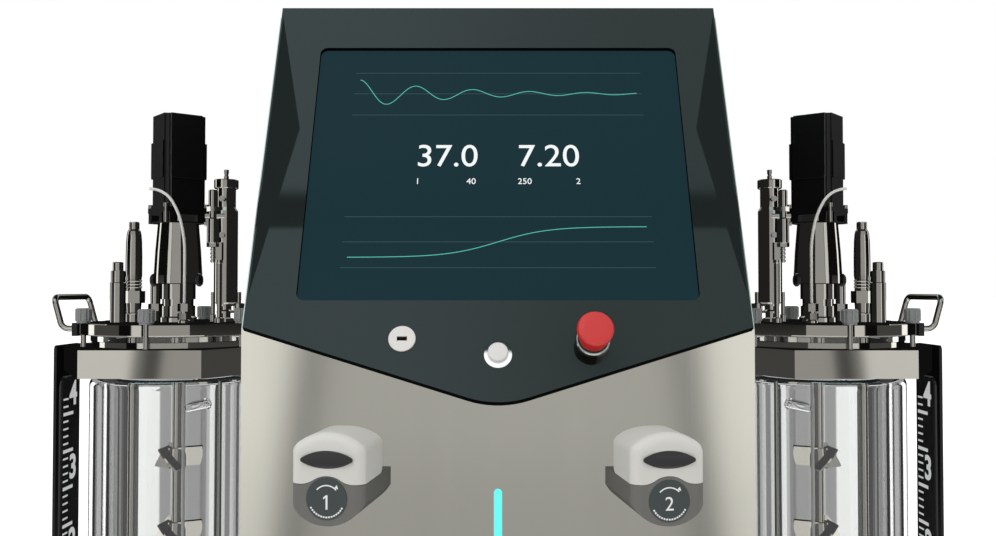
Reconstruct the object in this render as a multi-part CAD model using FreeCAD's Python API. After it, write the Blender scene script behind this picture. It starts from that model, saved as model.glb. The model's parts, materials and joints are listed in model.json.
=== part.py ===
import FreeCAD, Part
import math
import os

# Twin bench bioreactor: a steel control tower with a slanted touch panel and two
# tubing pumps on its front, and a jacketed glass vessel in a clamp stand on each side.
# Frame: +Z up, +X to the right, -Y towards the user; the origin is on the bench, under
# the middle of the whole machine.  Everything is in millimetres.  The left half is
# built first and the right half is its mirror image in the plane X = 0.

Vec = FreeCAD.Vector

# ---- driving dimensions ----------------------------------------------------------

# tower
body_half_width = 213.5
body_top_z = 697.0
sheet = 2.0
foot_height = 12.0
floor_plate = 3.0
nose_slope_deg = 7.85           # each front wall turns this much away from the middle
nose_radius = 190.0

# slanted control panel
panel_tilt_deg = 24.9           # from the vertical
panel_half_width = 211.0
panel_thickness = 6.0
panel_corner_y = -151.8         # lower side corner of its outer face
panel_corner_z = 400.0
panel_length = 337.6            # up the slope, from the lower side corner
panel_point = 69.6              # how far the middle point hangs below the side corners
panel_point_radius = 80.0
screen_width = 339.0
screen_low = 23.5
screen_high = 288.7
screen_corner = 7.0

# controls on the panel: across and up the slope
usb_at = (-78.8, -11.3)
start_at = (0.0, -25.0)
estop_at = (76.0, -19.7)

# tubing pumps
pump_offset = 115.8             # along the front wall, from the virtual nose
pump_half_width = 28.0
pump_depth = 80.0
pump_side_low = 273.0
pump_bottom = 256.8
pump_seam = 287.0
pump_seam_crest = 293.0
pump_top = 325.0
pump_corner = 8.0
lid_rear = 26.7                 # gap between the lid's back and the tower wall
lid_gap = 0.4
lid_crown_radius = 14.0         # rounds the lid's crown off at the back
rotor_z = 283.0
roller_orbit = 11.0
roller_radius = 4.5
track_radius = 18.7
chamber_radius = 22.0
chamber_front = 70.0
chamber_back = 41.0
hinge_from_back = 6.5
pin_radius = 2.0
grip_half_long = 19.6
grip_half_high = 6.6
grip_z = 305.4
grip_proud = 2.2
grip_tip_radius = 1.8

# connectors on the back cover
rear_nipple_length = 26.0

# vessels
vessel_x = -350.0
vessel_y = 107.0
flange_low = 343.3
flange_top = 371.0
flange_front = 113.0            # from the axis to the front and back flats
flange_front_half = 60.4
flange_trim = 119.0             # from the axis to the two narrow side flats
neck_bore = 76.5
rim_ring_top = 376.5
glass_radius = 88.8
glass_wall = 4.0
inner_radius = 71.0
neck_radius = 75.5
glass_bottom = 42.0
glass_top = 382.0
shoulder_z = 341.5
shoulder_radius = 12.0
seal_thickness = 1.5
plate_radius = 98.8
plate_low = glass_top + seal_thickness
plate_top = 395.5
stud_circle = 95.4
stud_radius = 2.75
nut_radius = 8.3
nut_top = 411.0
shaft_radius = 5.0
impeller_heights = (249.0, 169.0, 89.0)
impeller_radius = 27.0

# places of the fittings on the head plate, from the vessel's axis
probe_at = (-47.0, -4.0)
port_at = (-58.0, -20.0)
small_port_at = (60.0, 25.0)
slim_port_at = (36.6, 6.0)
rear_port_at = (-60.0, 24.0)
sample_port_at = (-36.0, 32.0)
plug_at = (-20.0, 58.0)
condenser_at = (53.0, -3.0)
spout_heights = (489.0, 528.0)
valve_at = (48.3, -35.3)
riser_at = (54.2, -31.3)
gas_at = (20.6, -42.0)
tube_radius = 1.5

# lifting handle
handle_z = 389.5
handle_top = 422.4
handle_reach = 116.0
handle_foot = 107.0
handle_rod = 3.1

# stirrer drive
hub_split = 436.4
hub_shoulder = 502.4            # the motor's plate rests here
hub_top = 511.0                 # end of the hub's spigot, inside the plate
motor_side = 45.4
motor_step_side = 49.0
motor_plate_side = 51.5
motor_edge_cut = 3.5
motor_plate_top = 519.0
motor_step_low = 550.7
motor_step_high = 590.2
motor_top = 620.0
spigot_radius = 20.0
motor_turn = 39.4               # degrees
screw_reach = 32.0              # from the axis to the motor's corner screws
knob_z = 440.7
knob_y = -5.0
knob_seat = 21.9                # from the axis to the knobs' inner faces
knob_radius = 7.0

# vessel stand
post_half_width = 29.0
post_sheet = 3.0
strip_half_width = 22.0
strip_low = 40.0
strip_high = 337.0
stand_half_depth = 95.0

tilt = math.radians(panel_tilt_deg)
nose_slope = math.radians(nose_slope_deg)
overhang = panel_thickness * math.cos(tilt)
body_corner_y = panel_corner_y + overhang
body_nose_y = body_corner_y - body_half_width * math.tan(nose_slope)

# the grips of the pumps are the front of the machine, and its rear nipples end as far behind
front_wall_turn = -nose_slope_deg
pump_base = (
    -pump_offset * math.cos(nose_slope),
    body_nose_y + pump_offset * math.sin(nose_slope),
)
front_y = (
    pump_base[1]
    - grip_half_long * math.sin(nose_slope)
    - (pump_depth + grip_proud) * math.cos(nose_slope)
)
rear_y = -front_y - rear_nipple_length


# ---- small helpers ---------------------------------------------------------------

def box(x0, x1, y0, y1, z0, z1):
    """A block between two corners."""
    return Part.makeBox(x1 - x0, y1 - y0, z1 - z0, Vec(x0, y0, z0))


def rod(radius, low, high, at=(0.0, 0.0)):
    """An upright cylinder."""
    return Part.makeCylinder(radius, high - low, Vec(at[0], at[1], low))


def bar(radius, start, end):
    """A round bar between two points."""
    along = Vec(*end) - Vec(*start)
    return Part.makeCylinder(radius, along.Length, Vec(*start), along)


def face_of(points):
    """A flat face from its corners."""
    corners = [Vec(*p) for p in points]
    return Part.Face(Part.makePolygon(corners + [corners[0]]))


def prism(points, low, high):
    """An upright prism on a polygon of x, y corners."""
    return face_of([(x, y, low) for x, y in points]).extrude(Vec(0, 0, high - low))


def turned(profile, at=(0.0, 0.0)):
    """A solid of revolution about an upright axis, from radius, height corners."""
    face = face_of([(r, 0, z) for r, z in profile])
    solid = face.revolve(Vec(0, 0, 0), Vec(0, 0, 1), 360)
    solid.translate(Vec(at[0], at[1], 0))
    return solid


def hexagon(across, low, high, at=(0.0, 0.0), turn=0.0):
    """A six-sided nut with two flats facing front and back before it is turned."""
    radius = across / math.sqrt(3.0)
    corners = []
    for k in range(6):
        a = math.radians(60 * k + turn)
        corners.append((at[0] + radius * math.cos(a), at[1] + radius * math.sin(a)))
    return prism(corners, low, high)


def rounded_square(side, corner, low, high, turn):
    """An upright square bar with cut corners, turned about its axis."""
    h = side / 2.0
    c = h - corner
    outline = [(-c, -h), (c, -h), (h, -c), (h, c), (c, h), (-c, h), (-h, c), (-h, -c)]
    solid = prism(outline, low, high)
    solid.rotate(Vec(0, 0, 0), Vec(0, 0, 1), turn)
    return solid


def fuse(first, *others):
    """One solid from pieces that touch or overlap."""
    return first.fuse(list(others)).removeSplitter()


def cut(first, *others):
    """The first solid with the others taken away."""
    return first.cut(list(others))


def group(*solids):
    """Separate solids that share one node."""
    flat = []
    for s in solids:
        flat.extend(s.Solids)
    return Part.makeCompound(flat)


def mirrored(shape):
    """The right-hand twin of a left-hand shape."""
    return shape.mirror(Vec(0, 0, 0), Vec(1, 0, 0))


def round_edges(shape, radius, chosen):
    """Round the edges whose middle point passes the test."""
    edges = [e for e in shape.Edges if chosen(e.CenterOfMass, e)]
    return shape.makeFillet(radius, edges)


def is_upright(edge):
    """True for a straight edge along Z."""
    if not isinstance(edge.Curve, Part.Line):
        return False
    return abs(edge.Curve.Direction.z) > 0.999


def on_panel(shape):
    """Lift a shape from the flat panel frame (across, up the slope, outwards)."""
    shape.rotate(Vec(0, 0, 0), Vec(1, 0, 0), 90.0 - panel_tilt_deg)
    shape.translate(Vec(0, panel_corner_y, panel_corner_z))
    return shape


def on_left_pump(shape):
    """Move a shape from the pump's own frame (front towards -Y) to the left wall."""
    shape.rotate(Vec(0, 0, 0), Vec(0, 0, 1), front_wall_turn)
    shape.translate(Vec(pump_base[0], pump_base[1], 0))
    return shape


def on_left_vessel(shape):
    """Move a shape from the vessel's axis to its place on the left."""
    shape.translate(Vec(vessel_x, vessel_y, 0))
    return shape


# ---- tower -----------------------------------------------------------------------

def tower_block(inset, low, high, rear):
    """The tower's plan, moved inwards by the sheet, as an upright block."""
    half = body_half_width - inset
    corner_y = body_corner_y + inset / math.cos(nose_slope) - inset * math.tan(nose_slope)
    nose_y = corner_y - half * math.tan(nose_slope)
    outline = [(-half, corner_y), (0, nose_y), (half, corner_y), (half, rear), (-half, rear)]
    block = prism(outline, low, high)
    return round_edges(
        block, nose_radius - inset, lambda c, e: is_upright(e) and c.y < corner_y - 5
    )


def ahead_of_panel():
    """Everything in front of the back face of the slanted panel."""
    back_y = panel_corner_y + panel_thickness / math.cos(tilt)
    low, high = 200.0, 900.0

    def slope_y(z):
        return back_y + (z - panel_corner_z) * math.tan(tilt)

    side = [(-300, slope_y(low), low), (-300, slope_y(high), high), (-300, -600, high), (-300, -600, low)]
    return face_of(side).extrude(Vec(600, 0, 0))


def light_slot(inset, extra):
    """The upright slot with round ends for the status light."""
    low, high, half = 70.0, 271.0, 3.3 + extra
    depth = 40.0
    slot = box(-half, half, body_nose_y - 5, body_nose_y + depth, low, high - half)
    top = bar(half, (0, body_nose_y - 5, high - half), (0, body_nose_y + depth, high - half))
    foot = bar(half, (0, body_nose_y - 5, low), (0, body_nose_y + depth, low))
    return fuse(slot, top, foot)


def make_tower_shell():
    """Folded steel skin, open at the back, below and behind the panel."""
    low = foot_height + floor_plate
    outer = tower_block(0.0, low, body_top_z, rear_y)
    inner = tower_block(sheet, low - 1.0, body_top_z - sheet, rear_y + 20)
    outer = cut(outer, ahead_of_panel())
    shell = cut(outer, inner, light_slot(0.0, 0.0))
    for base in (pump_base, (-pump_base[0], pump_base[1])):
        hole = bar(4.0, (base[0], base[1] - 12, rotor_z), (base[0], base[1] + 12, rotor_z))
        shell = shell.cut(hole)
    return shell


def make_light_strip():
    """Diffuser of the status light, flush with the nose."""
    low, high = 60.0, 280.0
    skin = tower_block(0.0, low, high, 0.0).cut(tower_block(4.0, low - 1, high + 1, 1.0))
    return skin.common(light_slot(0.0, 0.0))


def make_base_plate():
    """Floor of the tower."""
    return tower_block(0.0, foot_height, foot_height + floor_plate, rear_y)


vent_count = 7
inlet_at = (-150.0, 70.0)
switch_at = (-105.0, 70.0)
switch_tip = 8.0                # degrees to each side of the middle
gas_port_z = 150.0
gas_port_xs = [-60.0 + 30.0 * k for k in range(5)]
water_port_z = 100.0
water_port_xs = [0.0, 40.0, 80.0, 120.0]


def make_rear_panel():
    """Back cover with louvre slots and the holes of the connectors."""
    low = foot_height + floor_plate
    half = body_half_width - sheet
    panel = box(-half, half, rear_y - sheet, rear_y, low, body_top_z - sheet)
    for side in (-1, 1):
        for k in range(vent_count):
            z = 430.0 + 22.0 * k
            panel = panel.cut(box(side * 110 - 40, side * 110 + 40, rear_y - 10, rear_y + 10, z, z + 5))
    panel = panel.cut(connector_hole(inlet_at, 27.0, 20.0))
    panel = panel.cut(connector_hole(switch_at, 13.0, 19.5))
    for x in gas_port_xs:
        panel = panel.cut(bar(6.0, (x, rear_y - 10, gas_port_z), (x, rear_y + 10, gas_port_z)))
    for x in water_port_xs:
        panel = panel.cut(bar(7.0, (x, rear_y - 10, water_port_z), (x, rear_y + 10, water_port_z)))
    return panel


def connector_hole(at, width, height):
    """A rectangular cut through the back cover."""
    return box(
        at[0] - width / 2, at[0] + width / 2, rear_y - 10, rear_y + 10,
        at[1] - height / 2, at[1] + height / 2,
    )


def make_power_inlet():
    """Mains inlet socket with its three pins and a flange on the back cover."""
    x, z = inlet_at
    body = box(x - 13.5, x + 13.5, rear_y - 22, rear_y, z - 10, z + 10)
    flange = box(x - 16, x + 16, rear_y, rear_y + 2.5, z - 13, z + 13)
    hollow = box(x - 11.5, x + 11.5, rear_y - 18, rear_y + 5, z - 7.5, z + 7.5)
    socket = fuse(body, flange).cut(hollow)
    for dx, dz in ((-7.0, -2.0), (0.0, 2.5), (7.0, -2.0)):
        pin = box(x + dx - 1, x + dx + 1, rear_y - 19, rear_y - 4, z + dz - 2, z + dz + 2)
        socket = socket.fuse(pin)
    return socket


def make_switch_frame():
    """Open frame of the mains switch."""
    x, z = switch_at
    body = box(x - 6.5, x + 6.5, rear_y - 16, rear_y, z - 9.75, z + 9.75)
    flange = box(x - 9, x + 9, rear_y, rear_y + 2.5, z - 12.5, z + 12.5)
    hollow = box(x - 5.2, x + 5.2, rear_y - 12, rear_y + 5, z - 8.2, z + 8.2)
    return fuse(body, flange).cut(hollow)


def make_switch_rocker():
    """Rocker that tips about a pin across the middle of the frame."""
    x, z = switch_at
    y = rear_y - 3.0
    side = [
        (x, y - 4.0, z - 4.0), (x, y + 3.5, z - 6.9), (x, y + 7.0, z - 6.9),
        (x, y + 4.6, z), (x, y + 7.0, z + 6.9), (x, y + 3.5, z + 6.9), (x, y - 4.0, z + 4.0),
    ]
    rocker = face_of(side).extrude(Vec(9.4, 0, 0))
    rocker.translate(Vec(-4.7, 0, 0))
    rocker.rotate(Vec(x, y, z), Vec(1, 0, 0), switch_tip)
    return rocker


def make_rear_ports():
    """Ribbed nipples for gas and, larger, for cooling water on the back cover."""
    ports = []
    for x in gas_port_xs:
        profile = [
            (1.5, -14), (6.0, -14), (6.0, 0), (8.5, 0), (8.5, 4), (3.4, 4), (3.4, 8),
            (4.0, 8), (3.0, 12), (4.0, 12), (2.8, 18), (1.5, 18),
        ]
        ports.append(rear_turned(profile, x, gas_port_z))
    for x in water_port_xs:
        profile = [
            (2.5, -14), (7.0, -14), (7.0, 0), (9.5, 0), (9.5, 5), (5.0, 5), (5.0, 10), (5.8, 10),
            (4.6, 15), (5.8, 15), (4.6, 20), (5.6, 20), (4.0, rear_nipple_length), (2.5, rear_nipple_length),
        ]
        ports.append(rear_turned(profile, x, water_port_z))
    return group(*ports)


def rear_turned(profile, x, z):
    """A turned fitting that points backwards out of the back cover."""
    fitting = turned(profile)
    fitting.rotate(Vec(0, 0, 0), Vec(1, 0, 0), -90)
    fitting.translate(Vec(x, rear_y, z))
    return fitting


def make_feet():
    """Rubber feet under the tower and under the outer ends of the stands."""
    places = [(s * 175, y) for s in (-1, 1) for y in (body_corner_y + 40, rear_y - 40)]
    places += [(s * 440, vessel_y + dy) for s in (-1, 1) for dy in (-70, 70)]
    profile = [(0, 0), (15, 0), (17, 2), (15.5, foot_height), (0, foot_height)]
    return group(*[turned(profile, at) for at in places])


def make_control_module():
    """Chassis of the controller, gas and power unit on the tower's floor, open to the back."""
    low = foot_height + floor_plate
    step = low + 60
    base = box(-180, 180, -60, 190, low, step)
    rack = box(-150, 150, 40, 190, step, 460)
    base_room = box(-180 + sheet, 180 - sheet, -60 + sheet, 200, low + sheet, step - sheet)
    rack_room = box(-150 + sheet, 150 - sheet, 40 + sheet, 200, step + sheet, 460 - sheet)
    return cut(fuse(base, rack), base_room, rack_room)


# ---- control panel ---------------------------------------------------------------

def panel_outline():
    """Edge of the slanted panel: a rectangle that ends in a blunt point."""
    slope = math.atan(panel_point / body_half_width)
    reach = panel_point_radius * math.sin(slope)
    centre = -panel_point + panel_point_radius / math.cos(slope)
    touch = centre - panel_point_radius * math.cos(slope)
    side_low = -panel_point + panel_half_width * math.tan(slope)
    w = panel_half_width
    arc = Part.Arc(
        Vec(-reach, touch, 0), Vec(0, centre - panel_point_radius, 0), Vec(reach, touch, 0)
    ).toShape()
    path = [Vec(reach, touch, 0), Vec(w, side_low, 0), Vec(w, panel_length, 0),
            Vec(-w, panel_length, 0), Vec(-w, side_low, 0), Vec(-reach, touch, 0)]
    return Part.Wire([arc] + Part.makePolygon(path).Edges)


def screen_block(grow, low, high):
    """The display's rounded rectangle, grown all round, as a block across the panel."""
    w = screen_width / 2 + grow
    block = box(-w, w, screen_low - grow, screen_high + grow, low, high)
    return round_edges(block, screen_corner, lambda c, e: is_upright(e))


def make_front_fascia():
    """Dark slanted plate with the display opening and the holes of the controls."""
    plate = Part.Face(panel_outline()).extrude(Vec(0, 0, -panel_thickness))
    plate = plate.cut(screen_block(0.0, -10, 5))
    plate = plate.cut(rod(9.5, -10, 5, usb_at))
    plate = plate.cut(rod(9.5, -10, 5, start_at))
    plate = plate.cut(rod(11.0, -10, 5, estop_at))
    return on_panel(plate)


def make_touchscreen():
    """Display with its bonded glass reaching into the opening."""
    glass = screen_block(0.0, -panel_thickness, -panel_thickness + 1.5)
    frame = screen_block(9.0, -panel_thickness - 4.0, -panel_thickness)
    back = box(-150, 150, screen_low + 20, screen_high - 20, -panel_thickness - 22, -panel_thickness - 4)
    return on_panel(fuse(glass, frame, back))


def make_usb_port():
    """Round service socket for a memory stick."""
    body = rod(11.2, 0.0, 1.4, usb_at).fuse(rod(9.5, -18.0, 0.0, usb_at)).removeSplitter()
    body = round_edges(body, 0.6, lambda c, e: c.z > 1.39)
    x, y = usb_at
    return on_panel(body.cut(box(x - 4.2, x + 4.2, y - 1.9, y + 1.9, -13.0, 5.0)))


def make_start_bezel():
    """Ring and threaded sleeve of the start button."""
    profile = [(8.7, -16), (9.5, -16), (9.5, 0), (11.4, 0), (11.4, 1.2), (10.4, 2.4), (8.7, 2.4)]
    return on_panel(turned(profile, start_at))


def make_start_cap():
    """Tapered push cap of the start button."""
    profile = [(0, -11), (8.5, -11), (8.5, 3.0), (8.2, 6.2), (7.4, 7.0), (0, 7.0)]
    return on_panel(turned(profile, start_at))


def make_estop_collar():
    """Black cup with a steel rim round the emergency stop, and its contact block behind."""
    return on_panel(turned([
        (7.2, -20), (11.0, -20), (11.0, 0), (14.2, 0), (14.2, 17.5), (13.9, 20.5),
        (13.4, 21.5), (12.6, 21.5), (12.6, 16.0), (7.2, 16.0),
    ], estop_at))


def make_estop_stem():
    """Plunger that carries the mushroom head."""
    profile = [(0, -14), (7.0, -14), (7.0, 32), (4.0, 32), (4.0, 40), (0, 40)]
    return on_panel(turned(profile, estop_at))


def make_estop_head():
    """Red mushroom head that is pressed to stop and twisted to release."""
    profile = [
        (7.1, 23.0), (11.4, 23.0), (12.2, 28.0), (13.9, 35.0), (14.4, 39.0), (14.4, 42.5),
        (13.4, 44.4), (9.0, 45.0), (0, 45.2), (0, 40.05), (4.05, 40.05), (4.05, 32.05), (7.1, 32.05),
    ]
    head = turned(profile, estop_at)
    for k in range(3):
        a = math.radians(90 + 120 * k)
        x = estop_at[0] + 17.3 * math.cos(a)
        y = estop_at[1] + 17.3 * math.sin(a)
        head = head.cut(rod(3.6, 26, 41.5, (x, y)))
    return on_panel(head)


# ---- tubing pumps ----------------------------------------------------------------
# Pump frame: x across, z up, the tower wall at y = 0 and the front face at -pump_depth.

def seam_bump(rise, y0, y1):
    """Block under the wavy front seam, from well below it up to the crest."""
    w = pump_half_width + 1
    crest = pump_seam_crest + rise
    seam = pump_seam + rise
    half = 19.0
    mid = half / 2
    waist = seam + 0.58 * (crest - seam)
    left = Part.Arc(Vec(-half, y0, seam), Vec(-half + 5.0, y0, seam + 1.1), Vec(-mid, y0, waist))
    top = Part.Arc(Vec(-mid, y0, waist), Vec(0, y0, crest), Vec(mid, y0, waist))
    right = Part.Arc(Vec(mid, y0, waist), Vec(half - 5.0, y0, seam + 1.1), Vec(half, y0, seam))
    rest = Part.makePolygon([
        Vec(half, y0, seam), Vec(w, y0, seam), Vec(w, y0, seam - 60),
        Vec(-w, y0, seam - 60), Vec(-w, y0, seam), Vec(-half, y0, seam),
    ])
    wire = Part.Wire([left.toShape(), top.toShape(), right.toShape()] + rest.Edges)
    return Part.Face(wire).extrude(Vec(0, y1 - y0, 0))


def pump_lower_block():
    """Outer form of the pump body, a deep U with a round belly."""
    w = pump_half_width
    belly = Part.Arc(Vec(-w, 0, pump_side_low), Vec(0, 0, pump_bottom), Vec(w, 0, pump_side_low))
    top = pump_top
    rest = Part.makePolygon([
        Vec(w, 0, pump_side_low), Vec(w, 0, top), Vec(-w, 0, top), Vec(-w, 0, pump_side_low),
    ])
    face = Part.Face(Part.Wire([belly.toShape()] + rest.Edges))
    block = face.extrude(Vec(0, -pump_depth, 0))
    return round_edges(block, pump_corner, lambda c, e: is_upright(e) and c.y < -pump_depth + 1)


def make_pump_body():
    """Lower half of the pump, with the chamber, the tube ports and the hinge lug."""
    w = pump_half_width + 5
    keep_front = seam_bump(0.0, -pump_depth - 1, -chamber_front - 0.5)
    keep_rest = box(-w, w, -chamber_front - 0.5, 1, 200, pump_seam)
    body = pump_lower_block().common(keep_front.fuse(keep_rest))
    chamber = bar(chamber_radius, (0, -chamber_front, rotor_z), (0, -chamber_back, rotor_z))
    chamber = chamber.fuse(
        box(-chamber_radius, chamber_radius, -chamber_front, -chamber_back, rotor_z, pump_seam + 1)
    )
    body = body.cut(chamber)
    for side in (-1, 1):
        x = side * 17.5
        body = body.cut(box(x - 4, x + 4, -63.5, -47.5, 240, rotor_z))
    body = body.cut(bar(3.1, (0, -chamber_back - 1, rotor_z), (0, 1, rotor_z)))
    hinge_y = -lid_rear - hinge_from_back
    hinge_z = pump_seam + hinge_from_back
    lug = box(-8, 8, hinge_y - 4.5, hinge_y + 4.5, pump_seam - 1, hinge_z)
    lug = fuse(lug, bar(4.5, (-8, hinge_y, hinge_z), (8, hinge_y, hinge_z)))
    body = fuse(body, lug)
    return body.cut(bar(pin_radius, (-9, hinge_y, hinge_z), (9, hinge_y, hinge_z)))


def make_hinge_pin():
    """Pin of the pump lid."""
    hinge_y = -lid_rear - hinge_from_back
    hinge_z = pump_seam + hinge_from_back
    return bar(pin_radius, (-22, hinge_y, hinge_z), (22, hinge_y, hinge_z))


def pump_upper_block():
    """Outer form of the lid, an arched helmet."""
    w = pump_half_width
    shoulder = 313.5
    arch = Part.Arc(Vec(-w, 0, shoulder), Vec(0, 0, pump_top), Vec(w, 0, shoulder))
    rest = Part.makePolygon([
        Vec(w, 0, shoulder), Vec(w, 0, pump_seam - 20), Vec(-w, 0, pump_seam - 20), Vec(-w, 0, shoulder),
    ])
    face = Part.Face(Part.Wire([arch.toShape()] + rest.Edges))
    face.translate(Vec(0, -lid_rear, 0))
    block = face.extrude(Vec(0, lid_rear - pump_depth, 0))
    block = round_edges(block, pump_corner, lambda c, e: is_upright(e) and c.y < -pump_depth + 1)
    block = round_edges(
        block, 8.0, lambda c, e: c.z > shoulder - 1 and abs(c.y + lid_rear) > 1
    )
    crown = lid_crown_radius
    axis_y, axis_z = -lid_rear - crown, pump_top - crown
    corner = box(-w - 1, w + 1, axis_y, -lid_rear + 1, axis_z, pump_top + 1)
    corner = corner.cut(bar(crown, (-w - 2, axis_y, axis_z), (w + 2, axis_y, axis_z)))
    return block.cut(corner)


def make_pump_lid():
    """Flip-up upper half with the track that the tube is squeezed against."""
    w = pump_half_width + 5
    drop_front = seam_bump(lid_gap, -pump_depth - 1, -chamber_front + 0.2)
    drop_rest = box(-w, w, -chamber_front, 1, 200, pump_seam + lid_gap)
    lid = cut(pump_upper_block(), drop_front, drop_rest)
    hinge_y = -lid_rear - hinge_from_back
    hinge_z = pump_seam + hinge_from_back
    heel = box(-w, w, hinge_y, -lid_rear + 1, pump_seam - 1, hinge_z)
    heel = heel.cut(bar(hinge_from_back, (-w - 1, hinge_y, hinge_z), (w + 1, hinge_y, hinge_z)))
    track = bar(track_radius, (0, -chamber_front, rotor_z), (0, hinge_y - 5.2, rotor_z))
    pocket = box(-8.6, 8.6, hinge_y - 5.2, -lid_rear + 1, pump_seam, hinge_z + 5.2)
    pin_hole = bar(pin_radius + 0.05, (-22.5, hinge_y, hinge_z), (22.5, hinge_y, hinge_z))
    return cut(lid, heel, track, pocket, pin_hole)


def make_lid_grip():
    """Lens-shaped grip with round tips, let into the front of the lid."""
    tip, high = grip_tip_radius, grip_half_high
    reach = grip_half_long - tip
    side = (reach**2 + high**2 - tip**2) / (2 * (high - tip))
    x = reach * side / (side - tip)
    z = (side - high) * tip / (side - tip)

    def arc(start, middle, end):
        return Part.Arc(*[Vec(px, -pump_depth, grip_z + pz) for px, pz in (start, middle, end)]).toShape()

    outline = [
        arc((-x, z), (0, high), (x, z)),
        arc((x, z), (grip_half_long, 0), (x, -z)),
        arc((x, -z), (0, -high), (-x, -z)),
        arc((-x, -z), (-grip_half_long, 0), (-x, z)),
    ]
    lens = Part.Face(Part.Wire(outline)).extrude(Vec(0, -grip_proud, 0))
    bulge = (high**2 + grip_proud**2) / (2 * grip_proud)
    axis_y = -pump_depth - grip_proud + bulge
    return lens.common(bar(bulge, (-40, axis_y, grip_z), (40, axis_y, grip_z)))


rotor_front = -chamber_front + 1.0
rotor_back = -chamber_back - 1.0


def make_pump_rotor():
    """Two discs on the pump's shaft, with the pins of the rollers."""
    discs = [
        bar(14.0, (0, rotor_front, rotor_z), (0, rotor_front + 3, rotor_z)),
        bar(14.0, (0, rotor_back - 3, rotor_z), (0, rotor_back, rotor_z)),
        bar(5.0, (0, rotor_front, rotor_z), (0, rotor_back, rotor_z)),
        bar(3.0, (0, rotor_back - 1, rotor_z), (0, 12, rotor_z)),
    ]
    for side in (-1, 1):
        x = side * roller_orbit
        discs.append(bar(1.5, (x, rotor_front, rotor_z), (x, rotor_back, rotor_z)))
    return fuse(discs[0], *discs[1:])


def make_roller(side):
    """One free-running roller that squeezes the tube."""
    x = side * roller_orbit
    front, back = rotor_front + 3.2, rotor_back - 3.2
    roller = bar(roller_radius, (x, front, rotor_z), (x, back, rotor_z))
    return roller.cut(bar(1.56, (x, front - 1, rotor_z), (x, back + 1, rotor_z)))


def make_gearmotor():
    """Gear motor behind the tower's front wall, with the bore of the pump's shaft."""
    gearbox = bar(18.0, (0, sheet, rotor_z), (0, sheet + 24, rotor_z))
    motor = bar(15.0, (0, sheet + 24, rotor_z), (0, sheet + 60, rotor_z))
    return fuse(gearbox, motor).cut(bar(3.06, (0, 0, rotor_z), (0, 14, rotor_z)))


# ---- vessels ---------------------------------------------------------------------
# Vessel frame: the vessel's axis is x = y = 0 and heights are above the bench.

def make_vessel_glass():
    """Jacketed glass vessel, blown with its rim, its double wall and two hose nozzles."""
    outer = turned([(0, glass_bottom), (glass_radius, glass_bottom), (glass_radius, shoulder_z), (0, shoulder_z)])
    outer = round_edges(outer, shoulder_radius, lambda c, e: c.z > shoulder_z - 1)
    outer = round_edges(outer, 26.0, lambda c, e: c.z < glass_bottom + 1)
    neck = rod(neck_radius, shoulder_z - 1, rim_ring_top)
    rim = rod(88.0, rim_ring_top, glass_top)
    nozzles = [glass_nozzle(311.0, 5.0), glass_nozzle(88.0, -5.0)]
    body = fuse(outer, neck, rim, *[n[0] for n in nozzles])
    inside = rod(inner_radius, 58.0, glass_top + 1)
    inside = round_edges(inside, 28.0, lambda c, e: c.z < 60)
    jacket = rod(glass_radius - glass_wall, glass_bottom + 4.5, shoulder_z - 5.0)
    jacket = round_edges(jacket, shoulder_radius - 4, lambda c, e: c.z > shoulder_z - 6)
    jacket = round_edges(jacket, 22.0, lambda c, e: c.z < glass_bottom + 5)
    core = rod(inner_radius + glass_wall, 53.0, shoulder_z)
    core = round_edges(core, 32.0, lambda c, e: c.z < 54)
    jacket = jacket.cut(core)
    return cut(body, inside, jacket, *[n[1] for n in nozzles])


def glass_nozzle(height, rise):
    """A hose nozzle that leaves the jacket sideways, and its bore."""
    start = Vec(30.0, -76.0, height - 1.5 * rise / 5)
    tip = Vec(59.0, -82.0, height + rise)
    along = tip - start
    tube = Part.makeCylinder(5.0, along.Length, start, along)
    bead = Part.makeTorus(5.0, 1.1, tip - along * (2.5 / along.Length), along)
    bore = Part.makeCylinder(3.2, along.Length + 8, start + along * (5.0 / along.Length), along)
    return tube.fuse(bead), bore


def make_clamp_flange():
    """Steel ring under the glass rim, six-sided with cut side corners, and its raised seat."""
    front, half, trim = flange_front, flange_front_half, flange_trim
    side_half = front - (trim - half) * math.tan(math.radians(60))
    quarter = [(trim, side_half), (half, front), (-half, front), (-trim, side_half)]
    ring = prism(quarter + [(-x, -y) for x, y in quarter], flange_low, flange_top)
    ring = fuse(ring, rod(87.0, flange_top, rim_ring_top))
    ring = ring.cut(rod(neck_bore, 300, 400))
    for at in stud_places():
        ring = ring.cut(rod(stud_radius, 300, 400, at))
    return ring


def stud_places():
    """Centres of the six clamp studs, one straight in front of the axis."""
    places = []
    for k in range(6):
        a = math.radians(60 * k)
        places.append((stud_circle * math.sin(a), -stud_circle * math.cos(a)))
    return places


def make_head_plate():
    """Round steel lid with open slots for the studs and the bores of its fittings."""
    plate = rod(plate_radius, plate_low, plate_top)
    plate = plate.makeChamfer(0.8, [e for e in plate.Edges if isinstance(e.Curve, Part.Circle)])
    for k, at in enumerate(stud_places()):
        slot = box(-3.6, 3.6, -plate_radius - 5, -stud_circle, 300, 400)
        slot = slot.fuse(rod(3.6, 300, 400, (0, -stud_circle)))
        slot.rotate(Vec(0, 0, 0), Vec(0, 0, 1), 60 * k)
        plate = plate.cut(slot)
    bores = [((0, 0), 8.0), (probe_at, 6.0), (port_at, 5.0), (gas_at, tube_radius),
             (condenser_at, 4.0), (riser_at, 2.0), (small_port_at, 3.0), (slim_port_at, 2.0),
             (rear_port_at, 5.0), (sample_port_at, 3.0)]
    for at, radius in bores:
        plate = plate.cut(rod(radius, 300, 400, at))
    for side in (-1, 1):
        plate = plate.cut(handle_boss(side))
    return plate


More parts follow.
